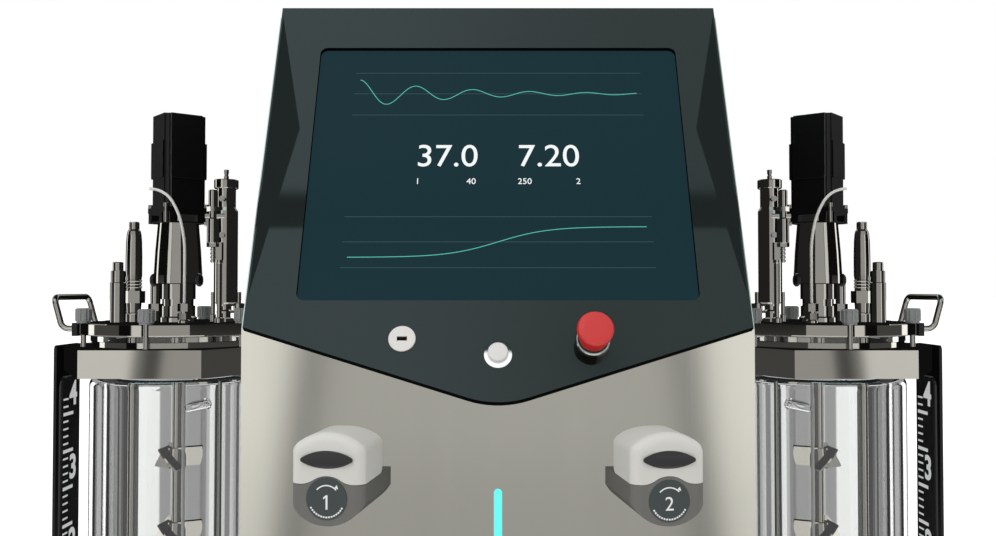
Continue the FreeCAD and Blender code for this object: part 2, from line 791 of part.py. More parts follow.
def make_plate_seal():
    """Flat silicone gasket between the glass rim and the lid."""
    return rod(86.0, glass_top, plate_low).cut(rod(73.0, 0, 500))


def make_studs():
    """Threaded studs of the clamp ring."""
    return group(*[rod(stud_radius, flange_low, nut_top - 2, at) for at in stud_places()])


def make_nuts():
    """Fluted clamp nuts, each with its washer."""
    nuts = []
    for at in stud_places():
        profile = [
            (stud_radius, plate_top), (7.0, plate_top), (7.0, plate_top + 2), (nut_radius, plate_top + 2.6),
            (nut_radius, nut_top - 1.4), (nut_radius - 1.4, nut_top), (stud_radius, nut_top),
        ]
        nut = turned(profile, at)
        for k in range(9):
            a = math.radians(40 * k)
            flute = (at[0] + 9.0 * math.cos(a), at[1] + 9.0 * math.sin(a))
            nut = nut.cut(rod(1.5, plate_top + 2.3, nut_top + 1, flute))
        nuts.append(nut)
    return group(*nuts)


def handle_boss(side):
    """Socket block at the lid's edge for one end of the handle, with a tongue let into the lid."""
    y = side * 43.0
    block = box(-95.0, -89.0, y - 6.0, y + 6.0, plate_low - 1.5, plate_top)
    block = round_edges(block, 1.5, lambda c, e: is_upright(e) and c.x < -94)
    tongue_y = side * 39.0
    tongue = box(-90.0, -84.0, tongue_y - 3.0, tongue_y + 3.0, plate_low, plate_top)
    return fuse(block, tongue)


def make_handle():
    """Bent rod handle: one sweep along straight runs and round bends."""
    runs = [
        Vec(-90, -43, handle_z), Vec(-handle_foot, -43, handle_z), Vec(-handle_reach, -43, handle_top),
        Vec(-handle_reach, 43, handle_top), Vec(-handle_foot, 43, handle_z), Vec(-90, 43, handle_z),
    ]
    return swept(bent_path(runs, [9.0, 8.0, 8.0, 9.0]), handle_rod)


def bent_path(points, radii):
    """Straight runs joined by tangent arcs."""
    edges = []
    here = points[0]
    for k, radius in enumerate(radii):
        before, corner, after = points[k], points[k + 1], points[k + 2]
        inward = (before - corner).normalize()
        outward = (after - corner).normalize()
        half = inward.getAngle(outward) / 2
        back = radius / math.tan(half)
        start = corner + inward * back
        end = corner + outward * back
        middle_way = (inward + outward).normalize()
        middle = corner + middle_way * (radius / math.sin(half) - radius)
        if (start - here).Length > 1e-6:
            edges.append(Part.LineSegment(here, start).toShape())
        edges.append(Part.Arc(start, middle, end).toShape())
        here = end
    edges.append(Part.LineSegment(here, points[-1]).toShape())
    return Part.Wire(edges)


def swept(path, radius):
    """A round rod along a path."""
    first = path.Edges[0]
    start = first.valueAt(first.FirstParameter)
    along = first.tangentAt(first.FirstParameter)
    ring = Part.Wire(Part.makeCircle(radius, start, along))
    return path.makePipeShell([ring], True, False)


def make_drive_hub():
    """Hollow drive housing between the lid and the motor, with the shaft's bearing in its foot."""
    bearing = shaft_radius + 0.05
    profile = [
        (bearing, plate_top), (20.0, plate_top), (20.0, 400.0), (18.2, 401.5), (18.2, 412.7),
        (16.4, 412.7), (16.4, 420.0), (18.4, 420.0), (18.4, hub_split), (25.3, hub_split + 0.8),
        (25.3, 446.0), (23.9, 472.0), (21.4, hub_shoulder), (spigot_radius, hub_shoulder),
        (spigot_radius, hub_top), (9.0, hub_top), (9.0, 425.0), (bearing, 425.0),
    ]
    hub = turned(profile)
    for side in (-1, 1):
        hub = hub.cut(knob_part(2.5, side, knob_seat - 6, knob_seat))
        hub = hub.cut(knob_part(knob_radius + 0.6, side, knob_seat, 40.0))
    return hub


def make_motor():
    """Square motor with hollowed corners and stepped sides on a plate with side windows."""
    stages = [
        rounded_square(side, motor_edge_cut, low, high, motor_turn)
        for side, low, high in (
            (motor_plate_side, hub_shoulder, motor_plate_top),
            (motor_side, motor_plate_top, motor_step_low),
            (motor_step_side, motor_step_low, motor_step_high),
            (motor_side, motor_step_high, motor_top),
        )
    ]
    motor = fuse(*stages).cut(rod(spigot_radius, hub_shoulder, hub_top))
    outside = motor_plate_side / 2.0 + 1.0
    for k in range(4):
        a = math.radians(45.0 + 90.0 * k + motor_turn)
        at = (screw_reach * math.cos(a), screw_reach * math.sin(a))
        window = box(-11.2, 11.2, -outside, -16.0, hub_shoulder + 1.4, hub_top)
        window.rotate(Vec(0, 0, 0), Vec(0, 0, 1), 90.0 * k + motor_turn)
        motor = cut(
            motor,
            window,
            rod(4.4, hub_shoulder - 1, 513.7, at),
            rod(6.0, motor_plate_top, motor_step_low + 1.8, at),
            rod(5.6, motor_step_low + 1.8, motor_top + 1, at),
        )
    return motor


def knob_part(radius, side, start, end):
    """A round bar of one thumb screw, between two distances from the hub's axis."""
    return bar(radius, (side * start, knob_y, knob_z), (side * end, knob_y, knob_z))


def make_hub_knobs():
    """Two thumb screws that lock the drive on its housing."""
    knobs = []
    for side in (-1, 1):
        head = knob_part(knob_radius, side, knob_seat, knob_seat + 5.6)
        head = head.makeChamfer(1.6, [e for e in head.Edges if isinstance(e.Curve, Part.Circle)])
        knobs.append(knob_part(2.5, side, knob_seat - 6, knob_seat).fuse(head))
    return group(*knobs)


def make_agitator_shaft():
    """Stirrer shaft with the coupling inside the drive housing."""
    profile = [
        (0, 66.0), (shaft_radius, 66.0), (shaft_radius, 452.0), (7.5, 453.0),
        (7.5, 480.0), (3.0, 481.0), (3.0, hub_top - 0.5), (0, hub_top - 0.5),
    ]
    return turned(profile)


def make_impellers():
    """Three pitched-blade impellers clamped on the shaft."""
    wheels = []
    for level in impeller_heights:
        hub = rod(9.5, level - 10, level + 10)
        for k in range(3):
            blade = box(0, impeller_radius, -1.0, 1.0, level - 15, level + 15)
            blade.rotate(Vec(0, 0, level), Vec(1, 0, 0), 40)
            blade.rotate(Vec(0, 0, 0), Vec(0, 0, 1), 120 * k + 25)
            hub = hub.fuse(blade)
        hub = hub.common(rod(impeller_radius, level - 16, level + 16))
        wheels.append(hub.cut(rod(shaft_radius, 0, 500)))
    return group(*wheels)


def make_condenser():
    """Exhaust condenser with its cap, rings and top and side nipples."""
    profile = [
        (0, plate_low), (4.0, plate_low), (4.0, plate_top), (8.4, plate_top), (8.4, 399.0),
        (5.3, 400.0), (5.3, 405.0), (9.6, 405.0), (9.6, 407.0), (6.2, 408.5), (6.2, 412.5),
        (9.6, 412.5), (9.6, 414.8), (12.6, 416.5), (12.6, 516.0), (10.2, 520.0), (10.2, 540.4),
        (12.2, 540.4), (13.0, 541.2), (13.0, 549.5), (12.2, 550.3), (2.6, 550.3),
        (2.6, 554.5), (1.9, 555.0), (2.6, 558.0), (2.6, 561.3), (0, 561.3),
    ]
    x, y = condenser_at
    spouts = []
    for z in spout_heights:
        spouts.append(bar(2.2, (x, y, z), (x + 1.0, y - 22.0, z)))
        spouts.append(bar(3.1, (x + 0.9, y - 19.5, z), (x + 1.0, y - 21.2, z)))
    return fuse(turned(profile, condenser_at), *spouts)


def make_valve():
    """Transfer valve: needle valve, hex body and barb over a slim riser and its dip tube."""
    x, y = valve_at
    barb = [(0, 459.0)]
    for k in range(4):
        z = 459.0 + 4.0 * k
        barb += [(2.0, z), (2.9, z + 1.2), (2.9, z + 2.0), (2.2, z + 3.2)]
    body = turned(barb + [
        (2.2, 475.5), (6.4, 480.0), (6.4, 505.0), (4.2, 506.5), (4.2, 511.5),
        (4.9, 518.0), (4.9, 535.0), (4.2, 536.0), (0, 536.0),
    ], valve_at)
    nut_low = hexagon(11.5, 475.5, 480.5, valve_at, 10)
    nut_high = hexagon(11.5, 513.0, 518.0, valve_at, 20)
    block = box(x + 2.4, x + 9.0, y + 0.5, y + 7.5, 462.0, 480.5)
    cross = bar(2.6, (x - 8.0, y - 2.0, 508.5), (x + 11.0, y + 3.0, 508.5))
    stem = bar(2.4, (x - 9.0, y, 500.0), (x, y, 500.0))
    riser = turned([
        (0, 90.0), (2.0, 90.0), (2.0, plate_top), (5.0, plate_top), (5.0, 400.0),
        (2.6, 401.0), (2.6, 458.0), (3.4, 459.0), (3.4, 462.0), (0, 462.0),
    ], riser_at)
    return fuse(body, nut_low, nut_high, block, cross, stem, riser)


def make_long_probe():
    """Long sensor with its ringed grip and screw fitting, reaching into the vessel."""
    profile = [
        (0, 120.0), (4.0, 120.0), (6.0, 126.0), (6.0, plate_top), (8.6, plate_top), (8.6, 403.8),
        (9.0, 404.5), (7.6, 405.5), (8.2, 415.8), (8.2, 428.9), (7.9, 430.0),
    ]
    for k in range(3):
        z = 432.2 + 3.4 * k
        profile += [(7.9, z), (8.7, z + 0.6), (8.7, z + 1.4), (7.9, z + 2.0)]
    profile += [
        (8.6, 446.0), (8.6, 466.0), (8.2, 483.0), (7.6, 490.0), (6.8, 494.0), (5.4, 496.0),
        (5.4, 503.2), (4.9, 504.2), (0, 504.2),
    ]
    return fuse(turned(profile, probe_at), hexagon(20.5, 415.8, 428.9, probe_at, 20.6))


def make_gas_tube():
    """Bent sparger tube: hooked over at the top, through the lid to a ring at the bottom."""
    x, y = gas_at
    runs = [
        Vec(x - 37.5, y, 536.6), Vec(x - 21.5, y, 536.6), Vec(x - 5.5, y, 510.0),
        Vec(x, y, 480.0), Vec(x, y, 72.0), Vec(x - 6.0, y + 14.0, 66.0),
    ]
    return swept(bent_path(runs, [28.0, 80.0, 120.0, 5.0]), tube_radius)


def make_gas_fitting():
    """Screw fitting of the sparger tube on the lid."""
    profile = [
        (tube_radius, plate_top), (6.6, plate_top), (6.6, 398.0), (5.0, 399.0),
        (5.0, 416.3), (tube_radius, 416.3),
    ]
    body = turned(profile, gas_at)
    low = hexagon(12.6, 399.0, 405.5, gas_at, 0)
    high = hexagon(12.0, 407.5, 415.6, gas_at, 15)
    return fuse(body, low, high).cut(rod(tube_radius, 300, 500, gas_at))


def make_stepped_port(at):
    """Tall port in three steps."""
    return turned([
        (0, plate_low), (5.0, plate_low), (5.0, plate_top), (8.0, plate_top), (8.0, 437.5),
        (7.2, 438.2), (7.2, 450.4), (5.4, 450.8), (5.4, 459.2), (4.8, 460.0), (0, 460.0),
    ], at)


def make_port_fittings():
    """Two stepped ports, three slim nipples, a blanked port and the tube's fitting."""
    stepped = [make_stepped_port(at) for at in (port_at, rear_port_at)]
    nipple = turned([
        (0, plate_low), (3.0, plate_low), (3.0, plate_top), (4.6, plate_top), (4.6, 407.0),
        (6.0, 407.4), (6.0, 415.0), (2.4, 415.4), (2.4, 427.7), (0, 427.7),
    ], small_port_at)
    slim = turned([
        (0, plate_low), (2.0, plate_low), (2.0, plate_top), (3.2, plate_top), (3.2, 403.0),
        (2.2, 403.6), (2.2, 427.7), (0, 427.7),
    ], slim_port_at)
    plug = turned([
        (0, plate_top), (9.0, plate_top), (9.0, 399.5), (6.0, 400.0), (6.0, 408.0), (0, 408.0),
    ], plug_at)
    sample = turned([
        (0, plate_low), (3.0, plate_low), (3.0, plate_top), (5.4, plate_top), (5.4, 440.0),
        (4.6, 440.8), (0, 440.8),
    ], sample_port_at)
    sample = sample.fuse(hexagon(13.5, 406.5, 414.5, sample_port_at, 15))
    return group(*stepped, nipple, slim, sample, plug, make_gas_fitting())


def make_stand():
    """Folded U stand: floor plate, outer post and a box post against the tower."""
    t = post_sheet
    outer_x = -flange_trim
    inner_x = flange_trim
    tower_x = -body_half_width - vessel_x
    low = foot_height
    floor = box(outer_x - t, tower_x, -stand_half_depth, stand_half_depth, low, low + t)
    floor = round_edges(floor, 12.0, lambda c, e: is_upright(e) and c.x < 0)
    w = post_half_width
    outer = box(outer_x - t, outer_x, -w, w, low, flange_top)
    outer = outer.makeFillet(5.0, [e for e in outer.Edges if is_top_corner(e)])
    inner = box(inner_x, tower_x, -w, w, low, flange_top)
    hollow = box(inner_x + t, tower_x - t, -w + t, w - t, low + t, flange_top - t)
    gusset = gusset_plate(outer_x, low + t, 22.0)
    return fuse(floor, outer, inner.cut(hollow), gusset)


def is_top_corner(edge):
    """True for the two top corners of the outer post, which run across its sheet."""
    c = edge.CenterOfMass
    across = isinstance(edge.Curve, Part.Line) and abs(edge.Curve.Direction.x) > 0.999
    return across and c.z > flange_top - 1


def gusset_plate(x, z, size):
    """A small web in the fold of the stand."""
    corner = [(x, -1.5, z), (x + size, -1.5, z), (x, -1.5, z + size)]
    return face_of(corner).extrude(Vec(0, 3.0, 0))


def make_strip():
    """Gloss strip on the inside of the outer post, with a round head."""
    x = -flange_trim
    strip = box(x, x + 3.0, -strip_half_width, strip_half_width, strip_low, strip_high)
    strip = strip.makeFillet(12.0, [e for e in strip.Edges if is_strip_corner(e)])
    return strip.makeChamfer(1.2, [e for e in strip.Edges if e.CenterOfMass.x > x + 2.9])


def is_strip_corner(edge):
    """True for the two upper corners of the strip."""
    c = edge.CenterOfMass
    across = isinstance(edge.Curve, Part.Line) and abs(edge.Curve.Direction.x) > 0.999
    return across and c.z > strip_high - 1


# ---- all nodes -------------------------------------------------------------------

def both_sides(shape):
    """One node that holds the left-hand piece and its mirror image."""
    return group(shape, mirrored(shape))


def build():
    """All sub-parts by the name of their node."""
    nodes = {
        "tower_shell": make_tower_shell(),
        "rear_panel": make_rear_panel(),
        "base_plate": make_base_plate(),
        "feet": make_feet(),
        "front_fascia": make_front_fascia(),
        "touchscreen": make_touchscreen(),
        "usb_port": make_usb_port(),
        "start_bezel": make_start_bezel(),
        "start_cap": make_start_cap(),
        "estop_collar": make_estop_collar(),
        "estop_stem": make_estop_stem(),
        "estop_head": make_estop_head(),
        "light_strip": make_light_strip(),
        "power_inlet": make_power_inlet(),
        "switch_frame": make_switch_frame(),
        "switch_rocker": make_switch_rocker(),
        "rear_ports": make_rear_ports(),
        "control_module": make_control_module(),
        "pump_hinge_pins": both_sides(on_left_pump(make_hinge_pin())),
        "pump_gearmotors": both_sides(on_left_pump(make_gearmotor())),
        "plate_seals": both_sides(on_left_vessel(make_plate_seal())),
        "clamp_studs": both_sides(on_left_vessel(make_studs())),
        "clamp_nuts": both_sides(on_left_vessel(make_nuts())),
        "lift_handles": both_sides(on_left_vessel(make_handle())),
        "handle_sockets": both_sides(on_left_vessel(make_handle_sockets())),
        "hub_knobs": both_sides(on_left_vessel(make_hub_knobs())),
        "gas_tubes": both_sides(on_left_vessel(make_gas_tube())),
        "port_fittings": both_sides(on_left_vessel(make_port_fittings())),
        "transfer_valves": both_sides(on_left_vessel(make_valve())),
        "long_probes": both_sides(on_left_vessel(make_long_probe())),
        "vessel_stands": both_sides(on_left_vessel(make_stand())),
        "stand_strips": both_sides(on_left_vessel(make_strip())),
    }
    left_pump = {
        "pump_body": make_pump_body,
        "pump_lid": make_pump_lid,
        "lid_grip": make_lid_grip,
        "pump_rotor": make_pump_rotor,
        "roller_a": lambda: make_roller(-1),
        "roller_b": lambda: make_roller(1),
    }
    for name, make in left_pump.items():
        shape = on_left_pump(make())
        nodes[name + "_left"] = shape
        nodes[name + "_right"] = mirrored(shape)
    left_vessel = {
        "vessel_glass": make_vessel_glass,
        "clamp_flange": make_clamp_flange,
        "head_plate": make_head_plate,
        "drive_hub": make_drive_hub,
        "agitator_motor": make_motor,
        "agitator_shaft": make_agitator_shaft,
        "impellers": make_impellers,
        "condenser": make_condenser,
    }
    for name, make in left_vessel.items():
        shape = on_left_vessel(make())
        nodes[name + "_left"] = shape
        nodes[name + "_right"] = mirrored(shape)
    return nodes


def make_handle_sockets():
    """The two black blocks at the lid's edge, bored for the handle's ends."""
    handle = make_handle()
    return group(*[handle_boss(side).cut(handle) for side in (-1, 1)])


def main():
    """Build every node and write it as a STEP file."""
    os.makedirs("parts", exist_ok=True)
    for name, shape in build().items():
        shape.exportStep("parts/" + name + ".step")


main()
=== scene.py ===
import json
import math

import bmesh
import bpy
from bpy.props import FloatProperty, FloatVectorProperty, IntProperty, PointerProperty
from mathutils import Matrix, Vector


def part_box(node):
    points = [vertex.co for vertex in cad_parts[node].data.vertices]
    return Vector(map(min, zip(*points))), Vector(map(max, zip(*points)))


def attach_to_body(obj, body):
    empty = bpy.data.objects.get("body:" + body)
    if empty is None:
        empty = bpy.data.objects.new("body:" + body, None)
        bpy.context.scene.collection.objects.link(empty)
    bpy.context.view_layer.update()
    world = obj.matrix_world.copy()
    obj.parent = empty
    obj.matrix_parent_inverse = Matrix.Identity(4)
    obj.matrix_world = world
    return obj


bl_info = {
    "name": "Bench bioreactor finish",
    "version": (1, 0, 0),
    "blender": (4, 5, 0),
    "location": "View3D > Sidebar > Bioreactor",
    "description": "Finishes, marks, small hardware and studio for a twin bench bioreactor",
    "category": "Object",
}

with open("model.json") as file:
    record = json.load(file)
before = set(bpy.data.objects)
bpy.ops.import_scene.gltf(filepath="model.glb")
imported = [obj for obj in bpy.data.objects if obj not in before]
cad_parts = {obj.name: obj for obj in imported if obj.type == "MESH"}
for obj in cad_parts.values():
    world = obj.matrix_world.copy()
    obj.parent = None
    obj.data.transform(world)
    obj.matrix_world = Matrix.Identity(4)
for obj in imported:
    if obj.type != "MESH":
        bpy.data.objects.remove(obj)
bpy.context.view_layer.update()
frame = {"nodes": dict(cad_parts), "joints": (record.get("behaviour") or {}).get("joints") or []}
NODES = frame["nodes"]
JOINTS = {joint["name"]: joint for joint in frame["joints"]}
SIDES = ("left", "right")
UP = Vector((0.0, 0.0, 1.0))

# Fixed values, in metres unless they are named otherwise.
WHITE = (1.0, 1.0, 1.0, 1.0)
FACE_DEPTH = 0.0004     # how deep a panel's front finish reaches
SLOT_DEPTH = 0.0012     # below it the USB disc is dark
COLLAR_RIM = 0.0172     # height of the stop button's rim
GRAPH_HALF = 0.13       # half the width of the display's lines
FIGURE_DEPTH = 0.00012
MARK_DEPTH = 0.0001
SCREW_SUNK = 0.0004     # how far a screw head starts inside its seat
SCREW_STEPS = 24
SMOOTH_DEGREES = 35.0


def tone(red, green, blue):
    """A linear colour from the 0 to 255 values that a screen shows."""
    linear = []
    for value in (red, green, blue):
        c = value / 255.0
        linear.append(c / 12.92 if c <= 0.04045 else ((c + 0.055) / 1.055) ** 2.4)
    return tuple(linear)


# ---- settings ----

def colour(name, description, red, green, blue):
    """A colour setting."""
    return FloatVectorProperty(
        name=name, description=description, subtype="COLOR", size=3, min=0.0, max=1.0,
        default=tone(red, green, blue),
    )


def length(name, description, default):
    """A length setting, given in metres."""
    return FloatProperty(
        name=name, description=description, default=default, min=0.0, max=5.0,
        unit="LENGTH", subtype="DISTANCE", precision=5,
    )


def share(name, description, default):
    """A setting from 0 to 1."""
    return FloatProperty(
        name=name, description=description, default=default, min=0.0, max=1.0, subtype="FACTOR",
    )


class BioreactorColours(bpy.types.PropertyGroup):
    """Colours of the machine's finishes."""

    sheet: colour("Tower sheet", "Satin stainless sheet of the tower", 230, 228, 216)
    flange: colour("Flange steel", "Satin steel of the clamp rings and lids", 200, 197, 187)
    bright: colour("Polished steel", "Electropolished fittings", 202, 199, 190)
    nut: colour("Nut steel", "Blasted steel of the cap nuts", 158, 159, 160)
    cover: colour("Back cover", "Powder coat of the back cover and the floor", 150, 150, 145)
    fascia: colour("Control panel", "Coated sheet round the display", 32, 38, 37)
    # the cut edge is near black, darker than the coat: painted shade for the dark line along the plate's
    # edge
    edge: colour("Panel edge", "Cut edge of the control panel", 8, 9, 9)
    display: colour("Display", "Ground of the display", 22, 47, 54)
    trace: colour("Display lines", "Thin lines on the display", 92, 205, 192)
    figures: colour("Display figures", "Large figures on the display", 236, 240, 240)
    light: colour("Status light", "Lit diffuser on the nose", 108, 251, 247)
    pearl: colour("Pearl discs", "USB cover and start button", 222, 219, 216)
    stop: colour("Stop button", "Red of the emergency stop", 208, 27, 21)
    lid: colour("Pump lid", "Off-white lid of the pumps", 212, 211, 205)
    body: colour("Pump body", "Grey lower half of the pumps", 108, 107, 103)
    grip: colour("Lid grip", "Dark grip on the pump lids", 46, 46, 47)
    ink: colour("Marks", "Light marks on badges and scales", 236, 238, 238)
    black: colour("Black parts", "Motors, stands and knobs", 20, 20, 21)
    strip: colour("Scale strip", "Gloss strip behind the vessels' scales", 40, 40, 41)
    tube: colour("Gas tube", "Bent gas tube", 232, 231, 227)


class BioreactorSizes(bpy.types.PropertyGroup):
    """Sizes of the marks and small hardware."""

    badge_radius: length("Badge radius", "Radius of the round pump badge", 0.0156)
    badge_height: length("Badge height", "Height of the badge's middle above the bench", 0.2769)
    # width of the black strip of painted shade under the front plate
    seal_width: length("Panel edge shade", "How far the black strip of painted shade hangs below the front plate", 0.0009)
    badge_drop: length("Right badge drop", "How much lower the right badge sits", 0.0016)
    badge_thickness: length("Badge thickness", "How far the badge stands proud", 0.0005)
    pump_figure: length("Pump figure", "Height of the figure on a badge", 0.0105)
    display_figure: length("Display figure", "Height of the large display figures", 0.024)
    trace_width: length("Trace width", "Width of the lines on the display", 0.0007)
    scale_pitch: length("Scale pitch", "Distance between two marks of a scale", 0.008)
    scale_figure: length("Scale figure", "Height of the figures on a scale", 0.026)
    screw_radius: length("Screw radius", "Head radius of the small cap screws", 0.0026)
    scale_steps: IntProperty(
        name="Scale marks", description="Number of marks on a scale", default=33, min=2, max=80,
    )


class BioreactorStudio(bpy.types.PropertyGroup):
    """Camera, light and backdrop."""

    lens: FloatProperty(
        name="Lens", description="Focal length on a 36 mm sensor", default=35.01,
        min=10.0, max=200.0, unit="CAMERA",
    )
    distance: length("Camera distance", "From the middle of the machine to the camera", 0.953)
    height: length("Camera height", "Camera height above the bench", 0.430)
    pitch: FloatProperty(
        name="Camera pitch", description="How far the camera looks up",
        default=math.radians(1.3), subtype="ANGLE",
    )
    ambient: FloatProperty(
        name="Ambient", description="Level of the soft light from all round", default=1.12, min=0.0,
    )
    lamp: FloatProperty(name="Lamp", description="Power of the soft lamp", default=20.0, min=0.0)
    wall_radius: length("Wall radius", "Distance of the reflected walls", 2.07)
    front_level: share("Front wall", "Brightness of the wall behind the camera", 0.455)
    flag_level: share("Flags", "Brightness of the dark walls at the sides", 0.006)


GROUPS = {
    "bioreactor_colours": BioreactorColours,
    "bioreactor_sizes": BioreactorSizes,
    "bioreactor_studio": BioreactorStudio,
}


# ---- shader expressions ----

def math_operator(operation, swap=False):
    """A Python operator that adds a Math node."""
    def apply(self, *others):
        return self.math(operation, *((*others, self) if swap else (self, *others)))
    return apply


class Value:
    """A shader socket that adds Math nodes when it is used in an expression."""

    def __init__(self, tree, socket):
        self.tree = tree
        self.socket = socket

    def math(self, operation, *values):
        return self.tree.node("ShaderNodeMath", {"operation": operation}, dict(enumerate(values)))

    __add__ = __radd__ = math_operator("ADD")
    __sub__ = math_operator("SUBTRACT")
    __rsub__ = math_operator("SUBTRACT", swap=True)
    __mul__ = __rmul__ = math_operator("MULTIPLY")
    __truediv__ = math_operator("DIVIDE")
    __lt__ = math_operator("LESS_THAN")
    __gt__ = math_operator("GREATER_THAN")
    __abs__ = math_operator("ABSOLUTE")


class Tree:
    """The nodes of one material or of the world."""

    def __init__(self, nodes_and_links):
        self.nodes = nodes_and_links.nodes
        self.links = nodes_and_links.links
        self.nodes.clear()

    def node(self, kind, settings=None, inputs=None, out=0):
        """Make a node: its settings first, then the values or links of its sockets."""
        made = self.nodes.new(kind)
        for name, value in (settings or {}).items():
            if name == "stops":
                self.set_stops(made.color_ramp, value)
            else:
                setattr(made, name, value)
        for name, value in (inputs or {}).items():
            if isinstance(value, Value):
                self.links.new(value.socket, made.inputs[name])
            else:
                made.inputs[name].default_value = value
        return Value(self, made.outputs[out]) if made.outputs else made

    @staticmethod
    def set_stops(ramp, stops):
        """Give a colour ramp its places and grey levels."""
        while len(ramp.elements) < len(stops):
            ramp.elements.new(1.0)
        for element, (place, level) in zip(ramp.elements, stops):
            element.position = place
            element.color = (level, level, level, 1.0)

    def place(self):
        """Position on the piece, in metres."""
        return self.node("ShaderNodeTexCoord", out=3)

    def along(self, vector, direction):
        """How far a position lies in a direction."""
        return self.node(
            "ShaderNodeVectorMath", {"operation": "DOT_PRODUCT"},
            {0: vector, 1: tuple(direction)}, out=1,
        )

    def noise(self, scale, detail):
        """Smooth noise from 0 to 1, with one scale or one for each axis."""
        place = self.place()
        if isinstance(scale, tuple):
            stretch = {"operation": "MULTIPLY"}
            place, scale = self.node("ShaderNodeVectorMath", stretch, {0: place, 1: scale}), 1.0
        return self.node(
            "ShaderNodeTexNoise", None,
            {"Vector": place, "Scale": scale, "Detail": detail, "Roughness": 0.55},
        )

    def fade(self, value, start, end):
        """0 before the start, 1 after the end, smooth between them."""
        return self.node(
            "ShaderNodeMapRange", {"interpolation_type": "SMOOTHSTEP"},
            {"Value": value, "From Min": start, "From Max": end},
        )

    def bands(self, value, stops):
        """Grey levels along a value, from pairs of value and level."""
        start, end = stops[0][0], stops[-1][0]
        spread = [((at - start) / (end - start), level) for at, level in stops]
        share_of_range = (value - start) / (end - start)
        return self.node("ShaderNodeValToRGB", {"stops": spread}, {"Fac": share_of_range})

    def choose(self, factor, first, second):
        """Between two values."""
        return first * (1.0 - factor) + second * factor

    def mix(self, factor, first, second):
        """Between two colours."""
        colours = [c if isinstance(c, Value) else (*c, 1.0) for c in (first, second)]
        return self.node(
            "ShaderNodeMix", {"data_type": "RGBA"}, {0: factor, 6: colours[0], 7: colours[1]}, out=2
        )

    def bump(self, height, strength, distance):
        """A normal from a height."""
        return self.node(
            "ShaderNodeBump", None, {"Height": height, "Strength": strength, "Distance": distance}
        )


class Finish(Tree):
    """One material with a Principled shader."""

    def __init__(self, name, **fixed):
        self.material = bpy.data.materials.new(name)
        self.material.use_nodes = True
        super().__init__(self.material.node_tree)
        self.shader = self.nodes.new("ShaderNodeBsdfPrincipled")
        output = self.nodes.new("ShaderNodeOutputMaterial")
        self.links.new(self.shader.outputs[0], output.inputs[0])
        self.set({socket.replace("_", " "): value for socket, value in fixed.items()})

    def surface(self, tint, share, mask, roughness, bump):
        """The material, with a share of its colour left where the mask is dark."""
        return self.set({
            "Base Color": self.mix(mask, darker(tint, share), tint),
            "Roughness": roughness,
            "Normal": self.bump(*bump),
        }).material

    def set(self, inputs):
        """Values or links of the shader's sockets."""
        for name, value in inputs.items():
            socket = self.shader.inputs[name]
            if isinstance(value, Value):
                self.links.new(value.socket, socket)
            elif socket.type == "RGBA" and len(value) == 3:
                socket.default_value = (*value, 1.0)
            else:
                socket.default_value = value
        return self


def darker(tint, factor):
    """A colour times a factor."""
    return tuple(c * factor for c in tint)


# ---- finishes ----

def brushed_sheet(tint):
    """Satin stainless sheet with an upright grain and soft handling marks."""
    f = Finish("brushed_sheet", Metallic=1.0)
    grain = f.noise((1400.0, 1400.0, 9.0), 2.0)
    drift = f.noise((30.0, 30.0, 2.0), 2.0)
    marks = f.noise(9.0, 4.0)
    return f.surface(tint, 0.93, drift, 0.095 + grain * 0.03 + marks * 0.02, (grain, 0.02, 0.0001))


def flange_finish(tint):
    """Fine ground steel of the clamp rings and lids."""
    f = Finish("ground_steel", Metallic=1.0)
    grain = f.noise((160.0, 160.0, 1500.0), 2.0)
    marks = f.noise(24.0, 4.0)
    return f.surface(tint, 0.94, marks, 0.02 + grain * 0.02 + marks * 0.02, (grain, 0.02, 0.0001))


def polished_finish(tint):
    """Electropolished steel with faint turning lines and wiped smears."""
    f = Finish("polished_steel", Metallic=1.0)
    rings = f.noise((20.0, 20.0, 2600.0), 1.0)
    smears = f.noise(42.0, 4.0)
    return f.surface(tint, 0.92, smears, 0.03 + smears * 0.03, (rings, 0.01, 0.0001))


def blasted_finish(tint):
    """Dull blasted steel of the cap nuts."""
    f = Finish("blasted_steel", Metallic=0.4)
    grit = f.noise(2200.0, 2.0)
    wear = f.noise(60.0, 3.0)
    return f.surface(tint, 0.85, wear, 0.36 + grit * 0.10, (grit, 0.12, 0.0002))


def powder_coat(name, tint, roughness=0.5):
    """Fine orange-peel coat."""
    f = Finish(name)
    peel = f.noise(900.0, 2.0)
    drift = f.noise(14.0, 3.0)
    return f.surface(tint, 0.9, drift, roughness + peel * 0.08, (peel, 0.12, 0.0003))


def moulded(name, tint, roughness, grain=700.0, strength=0.08, **fixed):
    """Moulded plastic with a fine spark texture and slight flow in its colour."""
    f = Finish(name, **fixed)
    spark = f.noise(grain, 3.0)
    flow = f.noise(22.0, 3.0)
    return f.surface(tint, 0.94, flow, roughness + spark * 0.07 + flow * 0.04, (spark, strength, 0.0002))


def panel_finish(tint, edge, out, level):
    """Coated control panel: smooth glossy front, cut edge painted dead black as painted shade along the
    plate's edge.
    """
    f = Finish("panel_coat", Specular_IOR_Level=0.0, Coat_IOR=1.5, Coat_Roughness=0.035)
    marks = f.noise(11.0, 4.0)
    front = f.along(f.place(), out) > level - FACE_DEPTH
    return f.set({
        "Base Color": f.mix(front, edge, f.mix(marks, darker(tint, 0.96), tint)),
        "Roughness": 0.5 + marks * 0.1,
        "Coat Weight": front * (0.94 + marks * 0.06),
    }).material


def display_finish(ground, out, level):
    """Lit display under its bonded glass, with a black border and edge."""
    f = Finish("display_glass", Specular_IOR_Level=0.06, Emission_Strength=1.0)
    front = f.along(f.place(), out) > level - FACE_DEPTH
    smudge = f.noise(16.0, 4.0)
    return f.set({
        "Base Color": (0.002, 0.003, 0.003),
        "Roughness": 0.12 + smudge * 0.1,
        "Emission Color": f.mix(front, (0.0, 0.0, 0.0), ground),
    }).material


